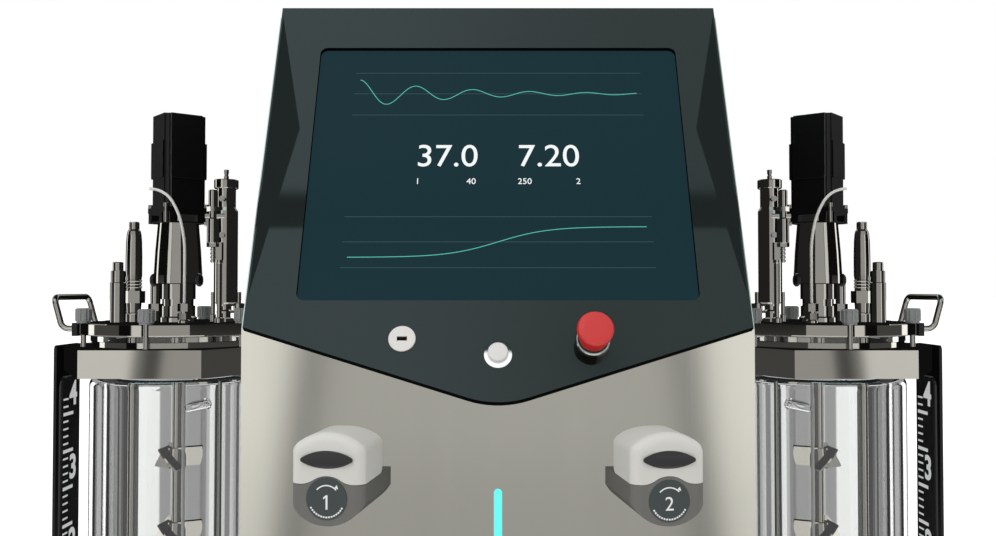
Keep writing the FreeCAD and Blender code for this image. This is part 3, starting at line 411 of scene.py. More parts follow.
def lit_finish(name, tint, strength):
    """A part that glows evenly, with a faint diffuser grain; on the printed scale marks this glow is
    painted light.
    """
    f = Finish(name, Emission_Strength=strength)
    grain = f.noise(500.0, 1.0)
    return f.set({
        "Base Color": darker(tint, 0.1),
        "Roughness": 0.5,
        "Emission Color": f.mix(grain, darker(tint, 0.96), tint),
    }).material


def glass_finish():
    """Clear borosilicate glass, brightly polished, with faint wiping smears."""
    f = Finish("borosilicate", Transmission_Weight=1.0, IOR=1.474)
    smears = f.noise((14.0, 14.0, 4.0), 3.0)
    return f.set({
        "Base Color": f.mix(smears, (0.97, 0.975, 0.97), (0.99, 0.995, 0.99)),
        "Roughness": 0.0,
    }).material


def collar_finish(base, rim, out, level):
    """Black cup with a steel rim above a level along the panel's outward direction."""
    f = Finish("stop_collar")
    steel = f.along(f.place(), out) > level
    smears = f.noise(120.0, 3.0)
    return f.set({
        "Base Color": f.mix(steel, base, rim),
        "Metallic": steel,
        "Roughness": 0.16 + smears * 0.08,
    }).material


def socket_finish(tint, inside, out, level):
    """Pearl disc whose slot is dark inside."""
    f = Finish("usb_disc")
    face = f.along(f.place(), out) > level - SLOT_DEPTH
    flow = f.noise(22.0, 3.0)
    return f.set({
        "Base Color": f.mix(face, inside, f.mix(flow, darker(tint, 0.94), tint)),
        "Roughness": 0.3 + flow * 0.1,
    }).material


def ring_finish(lit, shade, slope, level):
    """Clear ring with a white glow painted below its middle, a painted highlight, and dark above it."""
    f = Finish("start_ring_painted_glow", Emission_Strength=1.0)
    below, above = 0.0015, 0.0035
    high = f.fade(f.along(f.place(), slope), level - below, level + above)
    grain = f.noise(600.0, 1.0)
    return f.set({
        "Base Color": f.mix(high, darker(lit, 0.1), shade),
        "Roughness": 0.12 + grain * 0.05,
        "Emission Color": f.mix(high, lit, (0.0, 0.0, 0.0)),
    }).material


def silicone_finish(tint):
    """Milky silicone."""
    f = Finish("silicone", Subsurface_Weight=0.3, Subsurface_Radius=(0.004, 0.004, 0.003))
    cloud = f.noise(80.0, 2.0)
    return f.set({
        "Base Color": f.mix(cloud, darker(tint, 0.93), tint),
        "Roughness": 0.4 + cloud * 0.1,
    }).material


def ribbed_plastic(name, tint, ribs):
    """Dark plastic knob with fine ribs round its rim."""
    f = Finish(name)
    spark = f.noise(800.0, 2.0)
    wave = f.node(
        "ShaderNodeTexWave", {"wave_type": "BANDS", "bands_direction": "Z"},
        {"Vector": f.place(), "Scale": ribs},
    )
    return f.surface(tint, 0.85, spark, 0.35 + spark * 0.1, (wave, 0.1, 0.0002))


# ---- mesh helpers ----

def frame_at(origin, right, up):
    """The matrix of a local frame: x to the right, y up, z outwards."""
    x = Vector(right).normalized()
    y = Vector(up).normalized()
    z = x.cross(y)
    matrix = Matrix((x, y, z)).transposed().to_4x4()
    matrix.translation = Vector(origin)
    return matrix


def add_object(name, data):
    """A new object in the scene."""
    made = bpy.data.objects.new(name, data)
    bpy.context.scene.collection.objects.link(made)
    return made


def attach(made, body="machine"):
    """Let a piece move with a CAD body."""
    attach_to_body(made, body)
    return made


def piece(name, mesh_maker, matrix, finish, smooth=True):
    """A new mesh piece on the machine, built in a local frame."""
    bm = bmesh.new()
    mesh_maker(bm)
    bm.transform(matrix)
    bmesh.ops.recalc_face_normals(bm, faces=bm.faces)
    mesh = bpy.data.meshes.new(name)
    bm.to_mesh(mesh)
    bm.free()
    mesh.materials.append(finish)
    if smooth:
        mesh.shade_smooth()
        mesh.set_sharp_from_angle(angle=math.radians(SMOOTH_DEGREES))
    return attach(add_object(name, mesh))


def figure(name, text, height, matrix, finish):
    """Plain figures as a thin raised piece."""
    size_for_height = 1.38
    curve = bpy.data.curves.new(name, "FONT")
    curve.body = text
    curve.size = height * size_for_height
    curve.align_x = "CENTER"
    curve.align_y = "CENTER"
    curve.extrude = FIGURE_DEPTH
    curve.resolution_u = 6
    curve.materials.append(finish)
    made = add_object(name, curve)
    made.matrix_world = matrix
    return attach(made)


def add_one(bm, height, low, high):
    """The figure 1 with its flag, as a thin plate on the local origin."""
    corners = [
        (-0.06, -0.5), (0.08, -0.5), (0.08, 0.5), (-0.04, 0.5),
        (-0.24, 0.34), (-0.24, 0.20), (-0.06, 0.32),
    ]
    add_plate(bm, [(x * height, y * height) for x, y in corners], low, high)


def add_turned(bm, profile, steps, at=(0.0, 0.0)):
    """A surface of revolution about the local z axis, from radius, height pairs."""
    rings = []
    for radius, z in profile:
        if radius < 1e-7:
            rings.append([bm.verts.new((at[0], at[1], z))])
            continue
        ring = []
        for k in range(steps):
            a = 2.0 * math.pi * k / steps
            ring.append(bm.verts.new((at[0] + radius * math.cos(a), at[1] + radius * math.sin(a), z)))
        rings.append(ring)
    for low, high in zip(rings, rings[1:]):
        for k in range(steps):
            n = (k + 1) % steps
            if len(low) == 1 and len(high) == 1:
                continue
            if len(low) == 1:
                bm.faces.new((low[0], high[n], high[k]))
            elif len(high) == 1:
                bm.faces.new((low[k], low[n], high[0]))
            else:
                bm.faces.new((low[k], low[n], high[n], high[k]))


def add_plate(bm, corners, low, high):
    """A flat plate on a polygon of local x, y corners."""
    bottom = [bm.verts.new((x, y, low)) for x, y in corners]
    top = [bm.verts.new((x, y, high)) for x, y in corners]
    bm.faces.new(bottom[::-1])
    bm.faces.new(top)
    count = len(corners)
    for k in range(count):
        n = (k + 1) % count
        bm.faces.new((bottom[k], bottom[n], top[n], top[k]))


def arc_corners(inner, outer, start, end, steps):
    """Corners of a part of a ring, between two angles in degrees."""
    angles = [math.radians(start + (end - start) * k / steps) for k in range(steps + 1)]
    out = [(outer * math.cos(a), outer * math.sin(a)) for a in angles]
    back = [(inner * math.cos(a), inner * math.sin(a)) for a in reversed(angles)]
    return out + back


def add_ribbon(bm, points, width, low, high):
    """A thin line of even width through local x, y points."""
    left, right = [], []
    for k, point in enumerate(points):
        before = Vector(points[max(k - 1, 0)])
        after = Vector(points[min(k + 1, len(points) - 1)])
        along = (after - before).normalized()
        across = Vector((-along.y, along.x)) * width / 2.0
        left.append(Vector(point) + across)
        right.append(Vector(point) - across)
    for k in range(len(points) - 1):
        add_plate(bm, [left[k], right[k], right[k + 1], left[k + 1]], low, high)


def add_cap_screw(bm, at, radius, low, high):
    """A cap screw head with a hexagon socket."""
    socket = radius * 0.55
    depth = (high - low) * 0.55
    add_turned(
        bm,
        [(radius * 0.98, low), (radius, high - radius * 0.15), (radius * 0.88, high), (socket, high)],
        SCREW_STEPS, at,
    )
    rim = []
    floor = []
    for k in range(6):
        a = math.radians(60.0 * k)
        x, y = at[0] + socket * math.cos(a), at[1] + socket * math.sin(a)
        rim.append(bm.verts.new((x, y, high - 0.0001)))
        floor.append(bm.verts.new((x, y, high - depth)))
    for k in range(6):
        n = (k + 1) % 6
        bm.faces.new((rim[k], rim[n], floor[n], floor[k]))
    bm.faces.new(floor)


def named(*stems):
    """The CAD nodes of these names, or the left and right node where a name is a stem."""
    names = []
    for stem in stems:
        names += [stem] if stem in NODES else [stem + "_" + side for side in SIDES]
    return [NODES[name] for name in names]


def coat(finish, *stems):
    """Give CAD nodes a finish."""
    for node in named(*stems):
        for slot in node.material_slots:
            slot.material = finish


def unreflected(*stems):
    """Keep nodes out of the reflections on the steel round them."""
    hide(named(*stems), "glossy")


def hide(objects, *rays):
    """Keep objects out of sight of some kinds of ray."""
    for ob in objects:
        for ray in rays:
            setattr(ob, "visible_" + ray, False)


def reach(node, direction):
    """How far a node's mesh goes in a direction."""
    return max(v.co.dot(direction) for v in NODES[node].data.vertices)


def panel_frame():
    """The frame on the display's face: x across, y up the slope, z outwards."""
    out = -Vector(JOINTS["start_press"]["axis"])
    slope = out.cross(Vector((1.0, 0.0, 0.0)))
    points = [v.co for v in NODES["touchscreen"].data.vertices]
    low = min(p.dot(slope) for p in points)
    high = max(p.dot(slope) for p in points)
    middle = slope * (low + high) / 2.0 + out * reach("touchscreen", out)
    return frame_at(middle, (1.0, 0.0, 0.0), slope)


def pump_front(side, height):
    """The frame on the flat front of a pump at a height above the bench."""
    out = Vector(JOINTS["rotor_spin_" + side]["axis"])
    axis = Vector(JOINTS["rotor_spin_" + side]["pos_m"])
    middle = axis + out * (reach("pump_body_" + side, out) - axis.dot(out))
    middle.z = height
    return frame_at(middle, (-out).cross(UP), UP)


def vessel_axis(side):
    """The upright axis of a vessel, on the bench."""
    x, y, _ = JOINTS["agitator_spin_" + side]["pos_m"]
    return Vector((x, y, 0.0))


# ---- operators ----

class Step(bpy.types.Operator):
    """Shared base of the steps."""

    bl_idname = "bioreactor.step"
    bl_label = "Step"
    bl_options = {"REGISTER", "UNDO"}

    def execute(self, context):
        self.make(context.scene.bioreactor_colours, context.scene.bioreactor_sizes)
        return {"FINISHED"}

    def make(self, colours, sizes):
        raise NotImplementedError


class BIOREACTOR_OT_tower(Step):
    """Finish the tower's sheet, floor, back cover, chassis and feet"""

    bl_idname = "bioreactor.tower"
    bl_label = "Tower"

    def make(self, colours, sizes):
        coat(brushed_sheet(colours.sheet), "tower_shell")
        unreflected("tower_shell", "front_fascia", "touchscreen", "light_strip")
        coat(powder_coat("cover_coat", colours.cover), "rear_panel", "base_plate")
        coat(powder_coat("chassis_coat", tone(188, 190, 192), 0.4), "control_module")
        coat(moulded("foot_rubber", tone(24, 24, 24), 0.7, 400.0, 0.3), "feet")


class BIOREACTOR_OT_panel(Step):
    """Finish the control panel and its buttons"""

    bl_idname = "bioreactor.panel"
    bl_label = "Control panel"

    def make(self, colours, sizes):
        out = -Vector(JOINTS["start_press"]["axis"])
        face = reach("front_fascia", out)
        # the cut edge takes the near-black edge colour, painted shade
        coat(panel_finish(colours.fascia, colours.edge, out, face), "front_fascia")
        glass = reach("touchscreen", out)
        coat(display_finish(colours.display, out, glass), "touchscreen")
        coat(lit_finish("status_light", colours.light, 0.93), "light_strip")
        coat(moulded("pearl_disc", colours.pearl, 0.3, 500.0, 0.04), "start_cap")
        disc = reach("usb_port", out)
        coat(socket_finish(colours.pearl, tone(96, 78, 76), out, disc), "usb_port")
        slope = out.cross(Vector((1.0, 0.0, 0.0)))
        low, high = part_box("start_bezel")
        middle = ((low + high) / 2.0).dot(slope)
        # the white glow on the start ring's lower half is painted light, a painted highlight
        coat(ring_finish(tone(246, 250, 249), tone(34, 60, 60), slope, middle), "start_bezel")
        red = moulded("stop_red", colours.stop, 0.38, 600.0, 0.05, Specular_IOR_Level=0.9)
        coat(red, "estop_head")
        coat(moulded("stop_stem", tone(20, 8, 8), 0.3), "estop_stem")
        # the collar's black is tinted dark red, a painted reflection of the red head; the rim above is
        # real steel
        collar = collar_finish(tone(12, 3, 5), colours.bright, out, face + COLLAR_RIM)
        coat(collar, "estop_collar")
        unreflected("estop_head", "estop_stem", "estop_collar")
        # a black strip of painted shade, standing in for the shadow in the gap under the plate's lower
        # edge
        shade_black = moulded("edge_shade_black", tone(3, 3, 3), 0.9, 600.0, 0.05, Specular_IOR_Level=0.1)
        self.add_seal(slope, sizes.seal_width, shade_black)

    @staticmethod
    def add_seal(slope, width, finish):
        """A black strip of painted shade that hangs a little below the front plate's V-shaped edge."""
        source = NODES["front_fascia"].data
        level = max(v.co.dot(slope) for v in NODES["touchscreen"].data.vertices)
        lowest = min(v.co.dot(slope) for v in source.vertices)
        half = max(v.co.x for v in source.vertices)
        rise, margin = 0.0696, 0.008    # of the edge from the nose to the sides, and round it
        looks_down = -0.5

        def ribbon(bm):
            bm.from_mesh(source)
            spare = []
            for f in bm.faces:
                middle = f.calc_center_median()
                edge = lowest + rise * abs(middle.x) / half + margin
                if f.normal.dot(slope) > looks_down or middle.dot(slope) > min(edge, level):
                    spare.append(f)
            bmesh.ops.delete(bm, geom=spare, context="FACES")
            grown = bmesh.ops.extrude_face_region(bm, geom=bm.faces[:])
            moved = [v for v in grown["geom"] if isinstance(v, bmesh.types.BMVert)]
            bmesh.ops.translate(bm, verts=moved, vec=-slope * width)

        hide([piece("panel_edge_shade", ribbon, Matrix.Identity(4), finish, smooth=False)], "glossy")


def trend(x):
    """Height of the rising line on the display at a place across it."""
    rise, spread = 0.030, 0.022
    return rise / (1.0 + math.exp(-x / spread)) - rise / 2.0


def ripple(x):
    """Height of the settling line on the display at a place across it."""
    start = x + GRAPH_HALF
    swing, fading, wave = 0.016, 0.09, 0.0085
    return swing * math.exp(-start / fading) * math.cos(start / wave)


class BIOREACTOR_OT_readout(Step):
    """Draw the figures and plain trend lines of the display"""

    bl_idname = "bioreactor.readout"
    bl_label = "Display readout"

    def make(self, colours, sizes):
        ink = lit_finish("display_ink", colours.figures, 1.0)
        teal = lit_finish("display_teal", colours.trace, 0.75)
        faint = lit_finish("display_faint", tone(70, 104, 108), 0.8)
        face = panel_frame()
        low, high = 0.00005, 0.0002
        large, small = sizes.display_figure, 0.0062
        rows = (
            ("readout_large_%d", ("37.0", "7.20"), large, -0.046, 0.092, 0.012),
            ("readout_small_%d", ("1", "40", "250", "2"), small, -0.072, 0.048, -0.014),
        )
        for name, texts, height, start, step, y in rows:
            for k, text in enumerate(texts):
                spot = face @ Matrix.Translation((start + step * k, y, high))
                figure(name % (k + 1), text, height, spot, ink)
        steps = 120
        places = [GRAPH_HALF * (2.0 * k / steps - 1.0) for k in range(steps + 1)]
        lower, upper = -0.075, 0.082    # middles of the two lines
        grid_half, grid_width = 0.135, 0.0003

        def line(height, middle):
            points = [(x, height(x) + middle) for x in places]
            return lambda bm: add_ribbon(bm, points, sizes.trace_width, low, high)

        def draw_grid(bm):
            for y in (-0.100, lower, -0.050, 0.058, upper, 0.106):
                add_ribbon(bm, [(-grid_half, y), (grid_half, y)], grid_width, 0.00002, MARK_DEPTH)

        piece("display_trend", line(trend, lower), face, teal, smooth=False)
        piece("display_ripple", line(ripple, upper), face, teal, smooth=False)
        piece("display_grid", draw_grid, face, faint, smooth=False)


class BIOREACTOR_OT_pumps(Step):
    """Finish the tubing pumps, their lids, grips, rotors and rollers"""

    bl_idname = "bioreactor.pumps"
    bl_label = "Tubing pumps"

    def make(self, colours, sizes):
        coat(moulded("pump_lid_white", colours.lid, 0.38, 900.0, 0.05), "pump_lid")
        coat(moulded("pump_body_grey", colours.body, 0.48, 700.0, 0.1), "pump_body")
        coat(moulded("pump_grip_dark", colours.grip, 0.18, 300.0, 0.01), "lid_grip")
        coat(moulded("roller_nylon", tone(224, 223, 214), 0.5), "roller_a", "roller_b")
        steel = polished_finish(colours.bright)
        coat(steel, "pump_rotor")
        coat(steel, "pump_hinge_pins")
        coat(moulded("gearmotor_black", colours.black, 0.5), "pump_gearmotors")
        unreflected("pump_hinge_pins", "pump_gearmotors")
        unreflected("pump_lid", "pump_body", "lid_grip", "pump_rotor", "roller_a", "roller_b")


class BIOREACTOR_OT_badges(Step):
    """Put a numbered round badge on the front of each pump"""

    bl_idname = "bioreactor.badges"
    bl_label = "Pump badges"

    def make(self, colours, sizes):
        ground = moulded("badge_slate", tone(62, 71, 70), 0.35, 600.0, 0.03)
        ink = moulded("badge_ink", colours.ink, 0.5)
        radius, top = sizes.badge_radius, sizes.badge_thickness

        def disc(bm):
            edge = 0.0003
            profile = [(0.0, top), (radius - edge, top), (radius, top - edge), (radius, -edge)]
            add_turned(bm, profile, 72)

        def marks(bm):
            """A ring of dashes round the foot and a turning arrow, in shares of the radius."""
            high = top + MARK_DEPTH
            dashes, pitch, half = 15, 8.6, 2.9
            for k in range(dashes):
                middle = -90.0 + (k - dashes // 2) * pitch
                dash = arc_corners(radius * 0.82, radius * 0.90, middle - half, middle + half, 3)
                add_plate(bm, dash, top, high)
            add_plate(bm, arc_corners(radius * 0.60, radius * 0.66, 42.0, 138.0, 20), top, high)
            tip = [(0.37, 0.52), (0.57, 0.47), (0.50, 0.66)]
            add_plate(bm, [(x * radius, y * radius) for x, y in tip], top, high)

        def one(bm):
            add_one(bm, sizes.pump_figure, 0.0, MARK_DEPTH)

        for number, side in enumerate(SIDES, 1):
            face = pump_front(side, sizes.badge_height - (number - 1) * sizes.badge_drop)
            made = [
                piece("pump_badge_" + side, disc, face, ground),
                piece("pump_badge_marks_" + side, marks, face, ink, smooth=False),
            ]
            spot = face @ Matrix.Translation((0.0, -radius * 0.16, top))
            name = "pump_figure_" + side
            if number == 1:
                made.append(piece(name, one, spot, ink, smooth=False))
            else:
                made.append(figure(name, str(number), sizes.pump_figure, spot, ink))
            hide(made, "glossy")


class BIOREACTOR_OT_vessels(Step):
    """Finish the glass vessels, clamp rings, lids, nuts and seals"""

    bl_idname = "bioreactor.vessels"
    bl_label = "Vessels"

    def make(self, colours, sizes):
        coat(glass_finish(), "vessel_glass")
        hide(named("vessel_glass"), "shadow")
        coat(flange_finish(colours.flange), "clamp_flange", "head_plate")
        coat(blasted_finish(colours.nut), "clamp_nuts")
        coat(silicone_finish(tone(206, 206, 200)), "plate_seals")
        steel = polished_finish(colours.bright)
        coat(steel, "clamp_studs", "lift_handles")
        coat(steel, "agitator_shaft", "impellers")
        coat(moulded("socket_black", colours.black, 0.4), "handle_sockets")
        unreflected("clamp_studs", "clamp_nuts", "lift_handles", "handle_sockets", "plate_seals")
        unreflected("clamp_flange", "head_plate", "vessel_glass", "agitator_shaft", "impellers")


class BIOREACTOR_OT_fittings(Step):
    """Finish the probes, ports, condensers, valves, hubs, knobs and tubes on the lids"""

    bl_idname = "bioreactor.fittings"
    bl_label = "Lid fittings"

    def make(self, colours, sizes):
        steel = polished_finish(colours.bright)
        coat(steel, "condenser", "drive_hub")
        coat(steel, "long_probes", "port_fittings", "transfer_valves")
        coat(moulded("gas_tube_satin", colours.tube, 0.25, 500.0, 0.02, Metallic=0.2), "gas_tubes")
        coat(ribbed_plastic("knob_black", darker(colours.black, 0.6), 900.0), "hub_knobs")
        unreflected("long_probes", "port_fittings", "transfer_valves", "gas_tubes", "hub_knobs")
        unreflected("condenser", "drive_hub")


class BIOREACTOR_OT_motors(Step):
    """Finish the stirrer motors and set the cap screws in their corners"""

    bl_idname = "bioreactor.motors"
    bl_label = "Stirrer motors"

    def make(self, colours, sizes):
        coat(powder_coat("motor_coat", darker(colours.black, 0.25), 0.3), "agitator_motor")
        steel = polished_finish(colours.bright)
        turn, out = 39.4, 0.0320            # of the motor about its axis, and of a screw from it
        foot_low, foot_top = 0.5024, 0.5190
        shank, head = sizes.screw_radius * 0.85, 0.0042

        def screws(bm):
            for k in range(4):
                a = math.radians(45.0 + 90.0 * k + turn)
                at = (out * math.cos(a), out * math.sin(a))
                profile = [(0.0, foot_low), (shank, foot_low), (shank, foot_top), (0.0, foot_top)]
                add_turned(bm, profile, SCREW_STEPS, at)
                add_cap_screw(bm, at, sizes.screw_radius, foot_top - SCREW_SUNK, foot_top + head)

        unreflected("agitator_motor")
        for side, mirror in zip(SIDES, (1.0, -1.0)):
            flip = Matrix.Diagonal((mirror, 1.0, 1.0, 1.0))
            spot = Matrix.Translation(vessel_axis(side)) @ flip
            hide([piece("motor_screws_" + side, screws, spot, steel)], "glossy")


class BIOREACTOR_OT_stands(Step):
    """Finish the vessel stands and their gloss strips"""

    bl_idname = "bioreactor.stands"
    bl_label = "Stands"

    def make(self, colours, sizes):
        coat(powder_coat("stand_coat", darker(colours.black, 0.12), 0.3), "vessel_stands")
        coat(moulded("strip_gloss", colours.strip, 0.12, 300.0, 0.02), "stand_strips")
        unreflected("vessel_stands", "stand_strips")


class BIOREACTOR_OT_scales(Step):
    """Print a plain graduation with figures on each gloss strip"""

    bl_idname = "bioreactor.scales"
    bl_label = "Level scales"

    def make(self, colours, sizes):
        # the printed marks and figures are made to glow: painted light that keeps the print bright
        ink = lit_finish("scale_ink_painted_glow", colours.ink, 0.55)
        low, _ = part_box("stand_strips")
        bottom = low.z + 0.016
        near, far_long, far_short = -0.018, 0.006, -0.006
        half_long, half_short = 0.0018, 0.0010
        strip_out, bolder = 0.116, 0.0011   # of the strip from the vessel's axis, and of the figures
        long_every, figure_every = 5, 10

        def marks(bm):
            for k in range(sizes.scale_steps):
                y = bottom + k * sizes.scale_pitch
                long_mark = k % long_every == 0
                half = half_long if long_mark else half_short
                far = far_long if long_mark else far_short
                corners = [(near, y - half), (far, y - half), (far, y + half), (near, y + half)]
                add_plate(bm, corners, 0.0, MARK_DEPTH)

        for side, inward in zip(SIDES, (1.0, -1.0)):
            axis = vessel_axis(side)
            edge = axis.x - inward * strip_out
            face = frame_at((edge, axis.y, 0.0), (0.0, inward, 0.0), UP)
            made = [piece("scale_marks_" + side, marks, face, ink, smooth=False)]
            for k in range(0, sizes.scale_steps, figure_every):
                middle = bottom + (k + long_every / 2.0) * sizes.scale_pitch
                spot = face @ Matrix.Translation((far_long, middle, 0.0))
                number = k // figure_every + 1
                name = "scale_figure_%s_%d" % (side, number)
                digit = figure(name, str(number), sizes.scale_figure, spot, ink)
                digit.data.offset = bolder
                made.append(digit)
            hide(made, "transmission", "glossy")


class BIOREACTOR_OT_rear(Step):
    """Finish the connectors at the back and set the cover's screws"""

    bl_idname = "bioreactor.rear"
    bl_label = "Back"

    def make(self, colours, sizes):
        black = moulded("connector_black", colours.black, 0.5, 500.0, 0.15)
        coat(black, "power_inlet", "switch_frame", "switch_rocker")
        steel = polished_finish(colours.bright)
        coat(steel, "rear_ports")
        low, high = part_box("rear_panel")
        face = frame_at((0.0, high.y, 0.0), (-1.0, 0.0, 0.0), UP)
        from_side, from_end, rows, head = 0.009, 0.010, 5, 0.0018
        half = (high.x - low.x) / 2.0 - from_side

        def screws(bm):
            for row in range(rows):
                z = low.z + from_end + row * (high.z - low.z - 2.0 * from_end) / (rows - 1.0)
                for x in (-half, half):
                    add_cap_screw(bm, (x, z), sizes.screw_radius, -SCREW_SUNK, head)

        piece("cover_screws", screws, face, steel)


class BIOREACTOR_OT_stage(bpy.types.Operator):
    """Set up the floor, the white background, the reflected walls and cards, the lamp and the camera"""

    bl_idname = "bioreactor.stage"
    bl_label = "Studio"
    bl_options = {"REGISTER", "UNDO"}

    def execute(self, context):
        studio = context.scene.bioreactor_studio
        context.scene.view_settings.view_transform = "Standard"
        self.add_background(context, studio)
        self.add_floor()
        self.add_wall(studio)
        self.add_ceiling()
        self.add_tower_cards()
        self.add_lamp(studio)
        self.add_camera(context, studio)
        return {"FINISHED"}

    @staticmethod
    def seen_white(tree):
        """1 for what the camera, metal and glass see, 0 for what lights the machine."""
        path = tree.nodes.new("ShaderNodeLightPath")
        seen = Value(tree, path.outputs["Is Camera Ray"]) + Value(tree, path.outputs["Is Glossy Ray"])
        seen = seen + Value(tree, path.outputs["Is Transmission Ray"])
        return seen.math("MINIMUM", seen, 1.0)

    def add_background(self, context, studio):
        world = bpy.data.worlds.new("studio_white")
        world.use_nodes = True
        context.scene.world = world
        tree = Tree(world.node_tree)
        white = self.seen_white(tree)
        direction = tree.node("ShaderNodeTexCoord")
        ahead = tree.fade(tree.along(direction, (0.0, -1.0, 0.0)), 0.0, 0.9)
        camera_side_loss = 0.45
        soft = studio.ambient * (1.0 - ahead * camera_side_loss)
        strength = tree.choose(white, soft, 1.0)
        sky = tree.node("ShaderNodeBackground", None, {"Color": WHITE, "Strength": strength})
        tree.node("ShaderNodeOutputWorld", None, {"Surface": sky})

    @staticmethod
    def stage_mesh(name, corners, faces, material):
        mesh = bpy.data.meshes.new(name)
        mesh.from_pydata(corners, [], faces)
        mesh.materials.append(material)
        made = add_object(name, mesh)
        return made

    def add_floor(self):
        half = 40.0
        f = Finish("pale_floor", Specular_IOR_Level=0.0, Roughness=0.8, Emission_Strength=0.36)
        wear = f.noise(1.3, 3.0)
        f.set({
            "Base Color": f.mix(wear, tone(238, 238, 236), tone(244, 244, 243)),
            "Emission Color": f.mix(self.seen_white(f), (0.0, 0.0, 0.0), WHITE[:3]),
        })
        corners = [(-half, -half, 0.0), (half, -half, 0.0), (half, half, 0.0), (-half, half, 0.0)]
        floor = self.stage_mesh("floor", corners, [(0, 1, 2, 3)], f.material)
        hide([floor], "glossy", "transmission")

    @staticmethod
    def reflected_only(made, glass):
        """Keep a card out of sight of the camera and of the light."""
        hide([made], "camera", "diffuse", "shadow")
        made.visible_transmission = glass

    @staticmethod
    def glow(name):
        """A material for a card and its tree."""
        material = bpy.data.materials.new(name)
        material.use_nodes = True
        return material, Tree(material.node_tree)

    @staticmethod
    def shine(tree, strength, tint=WHITE):
        """Let a card's material glow with a strength that its tree works out."""
        light = tree.node("ShaderNodeEmission", None, {"Color": tint, "Strength": strength})
        tree.node("ShaderNodeOutputMaterial", None, {"Surface": light})

    def add_wall(self, studio):
        """Two round walls, one seen in steel and one through glass.

        Each list has angles from the camera's side, in degrees, and levels; a ramp holds 32 stops.
        """
        flag, front = studio.flag_level, studio.front_level
        sides_from, sides_to, behind_from, beyond_from = 60.0, 94.0, 134.0, 156.2
        lean, lean_middle = 3.0, 0.08       # degrees for each metre of height, about a height
        side_glow, far_level = 0.08, 0.42
        bottom, top = -2.4, 1.9
        ahead = [
            (0.0, front), (27.3, front), (27.9, 0.41), (28.2, 0.24), (28.5, 0.13), (29.1, 0.10),
            (29.6, 0.21), (29.9, 0.28), (30.2, 0.455), (30.7, 0.86), (31.2, 0.9), (45.0, 0.9),
            (46.5, flag), (60.0, flag),
        ]
        beside = [
            (60.0, flag), (94.0, flag), (95.5, 1.6), (104.5, 1.6), (106.0, flag),
        ]
        behind = [
            (134.0, 0.2), (136.5, 0.27), (138.4, 0.42), (142.5, 0.42), (142.7, 0.10), (143.2, 0.10),
            (143.4, 0.35), (144.1, 0.32), (144.3, 0.11), (144.6, 0.20), (144.9, 0.10), (146.3, 0.11),
            (146.7, 1.08), (151.2, 1.08), (151.4, 0.36), (152.7, 0.33), (152.8, 0.8), (153.05, 0.8),
            (153.2, 0.36), (156.2, 0.37),
        ]
        beyond = [
            (156.2, 0.37), (156.4, 0.22), (157.2, 0.22), (157.4, 0.52), (157.7, 0.52),
            (157.9, 1.0), (158.6, 1.0), (158.75, 0.03), (159.2, 0.03), (159.35, 0.82), (160.9, 0.82),
            (161.2, 0.30), (162.7, 0.32), (162.85, 0.75), (163.5, 0.62), (165.8, 0.55), (166.1, 0.10),
            (168.2, 0.10), (168.6, 0.8),
        ]
        for name, glass in (("steel_wall", False), ("glass_wall", True)):
            material, tree = self.glow(name)
            place = tree.place()
            x = abs(tree.along(place, (1.0, 0.0, 0.0)))
            y = tree.along(place, (0.0, -1.0, 0.0))
            z = tree.along(place, UP)
            angle = x.math("ARCTAN2", x, y) * (180.0 / math.pi)
            foot_share = 0.87 + tree.fade(z, -0.2, 0.1) * 0.13
            level = tree.bands(angle + (z - lean_middle) * lean, ahead) * foot_share
            low_side = (1.0 - tree.fade(z, 0.42, 0.52)) * (angle < sides_to)
            side_level = tree.bands(angle, beside) + low_side * side_glow
            level = tree.choose(angle > sides_from, level, side_level)
            if glass:
                level = tree.choose(angle > behind_from, level, tree.bands(angle, behind))
                level = tree.choose(angle > beyond_from, level, tree.bands(angle, beyond))
            away = 1.0 - tree.fade(z, -0.50, -0.42) * (1.0 - tree.fade(z, 1.15, 1.30))
            level = level + (far_level - level) * away
            self.shine(tree, level)
            steps = 96
            corners = []
            for k in range(steps):
                a = 2.0 * math.pi * (k + 0.5) / steps
                px, py = -studio.wall_radius * math.sin(a), -studio.wall_radius * math.cos(a)
                corners += [(px, py, bottom), (px, py, top)]
            following = [(k + 1) % steps for k in range(steps)]
            faces = [(2 * k, 2 * n, 2 * n + 1, 2 * k + 1) for k, n in enumerate(following)]
            wall = self.stage_mesh(name, corners, faces, material)
            self.reflected_only(wall, glass)
            wall.visible_glossy = not glass

    def add_ceiling(self):
        """Ceiling card with one dark strip, seen only in the slanted panel and other steel."""
        material, tree = self.glow("ceiling_card")
        place = tree.place()
        y = tree.along(place, (0.0, 1.0, 0.0))
        x = tree.along(place, (1.0, 0.0, 0.0))
        strip = tree.fade(y, -1.985, -1.97) * (1.0 - tree.fade(y, -1.84, -1.76))
        level = (1.0 - tree.fade(x, -0.6, 0.6) * 0.38) * (1.0 - tree.fade(y, -0.95, -0.85) * 0.98)
        self.shine(tree, level * (1.0 - strip), (0.74, 0.96, 1.0, 1.0))
        z = 3.0
        corners = [(-3.0, -5.0, z), (3.0, -5.0, z), (3.0, 3.0, z), (-3.0, 3.0, z)]
        card = self.stage_mesh("ceiling_card", corners, [(0, 1, 2, 3)], material)
        self.reflected_only(card, False)

    def add_tower_cards(self):
        """A dim card inside each side of the tower, for the tower's reflection in the steel."""
        material, tree = self.glow("tower_card")
        low_level, drop = 0.085, 0.062
        drop_from, drop_to = 0.36, 0.40
        height = tree.along(tree.place(), UP)
        self.shine(tree, low_level - tree.fade(height, drop_from, drop_to) * drop)
        low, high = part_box("tower_shell")
        inset, nose = 0.004, 0.034
        for name, x in (("tower_card_left", low.x + inset), ("tower_card_right", high.x - inset)):
            front = low.y + nose
            corners = [(x, front, low.z), (x, high.y, low.z), (x, high.y, high.z), (x, front, high.z)]
            card = self.stage_mesh(name, corners, [(0, 1, 2, 3)], material)
            self.reflected_only(card, False)

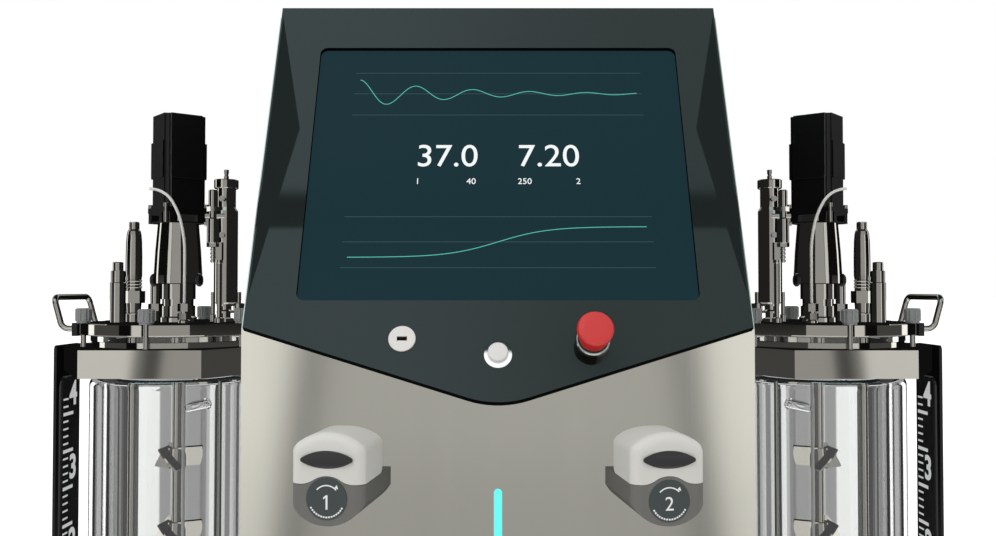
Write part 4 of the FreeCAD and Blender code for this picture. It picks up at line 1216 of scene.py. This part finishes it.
    @staticmethod
    def add_lamp(studio):
        light = bpy.data.lights.new("soft_lamp", "AREA")
        light.shape = "RECTANGLE"
        light.size = 2.4
        light.size_y = 1.8
        light.energy = studio.lamp
        lamp = add_object("soft_lamp", light)
        lamp.location = (-1.2, -1.3, 2.6)
        machine_middle = Vector((0.0, 0.0, 0.35))
        aim = machine_middle - lamp.location
        lamp.rotation_euler = aim.to_track_quat("-Z", "Y").to_euler()
        hide([lamp], "glossy", "transmission")

    @staticmethod
    def add_camera(context, studio):
        data = bpy.data.cameras.new("camera")
        data.sensor_width = 36.0
        data.lens = studio.lens
        data.clip_start = 0.02
        camera = add_object("camera", data)
        camera.location = (0.0, -studio.distance, studio.height)
        camera.rotation_euler = (math.radians(90.0) + studio.pitch, 0.0, 0.0)
        context.scene.camera = camera


STEPS = (
    BIOREACTOR_OT_tower,
    BIOREACTOR_OT_panel,
    BIOREACTOR_OT_readout,
    BIOREACTOR_OT_pumps,
    BIOREACTOR_OT_badges,
    BIOREACTOR_OT_vessels,
    BIOREACTOR_OT_fittings,
    BIOREACTOR_OT_motors,
    BIOREACTOR_OT_stands,
    BIOREACTOR_OT_scales,
    BIOREACTOR_OT_rear,
    BIOREACTOR_OT_stage,
)


class BIOREACTOR_PT_steps(bpy.types.Panel):
    """Buttons for every step, with the settings under them"""

    bl_idname = "BIOREACTOR_PT_steps"
    bl_label = "Bench bioreactor"
    bl_space_type = "VIEW_3D"
    bl_region_type = "UI"
    bl_category = "Bioreactor"

    def draw(self, context):
        for step in STEPS:
            self.layout.operator(step.bl_idname)
        for group in GROUPS:
            settings = getattr(context.scene, group)
            box = self.layout.box()
            for name in settings.__annotations__:
                box.prop(settings, name)


def register():
    """Add the settings, the steps and the panel."""
    for name, group in GROUPS.items():
        bpy.utils.register_class(group)
        setattr(bpy.types.Scene, name, PointerProperty(type=group))
    for step in (*STEPS, BIOREACTOR_PT_steps):
        bpy.utils.register_class(step)


def unregister():
    """Remove what register added."""
    for step in (BIOREACTOR_PT_steps, *reversed(STEPS)):
        bpy.utils.unregister_class(step)
    for name, group in reversed(GROUPS.items()):
        delattr(bpy.types.Scene, name)
        bpy.utils.unregister_class(group)


def main():
    """Run every step in order."""
    register()
    for step in STEPS:
        area, name = step.bl_idname.split(".")
        getattr(getattr(bpy.ops, area), name)()


if __name__ == "__main__":
    main()
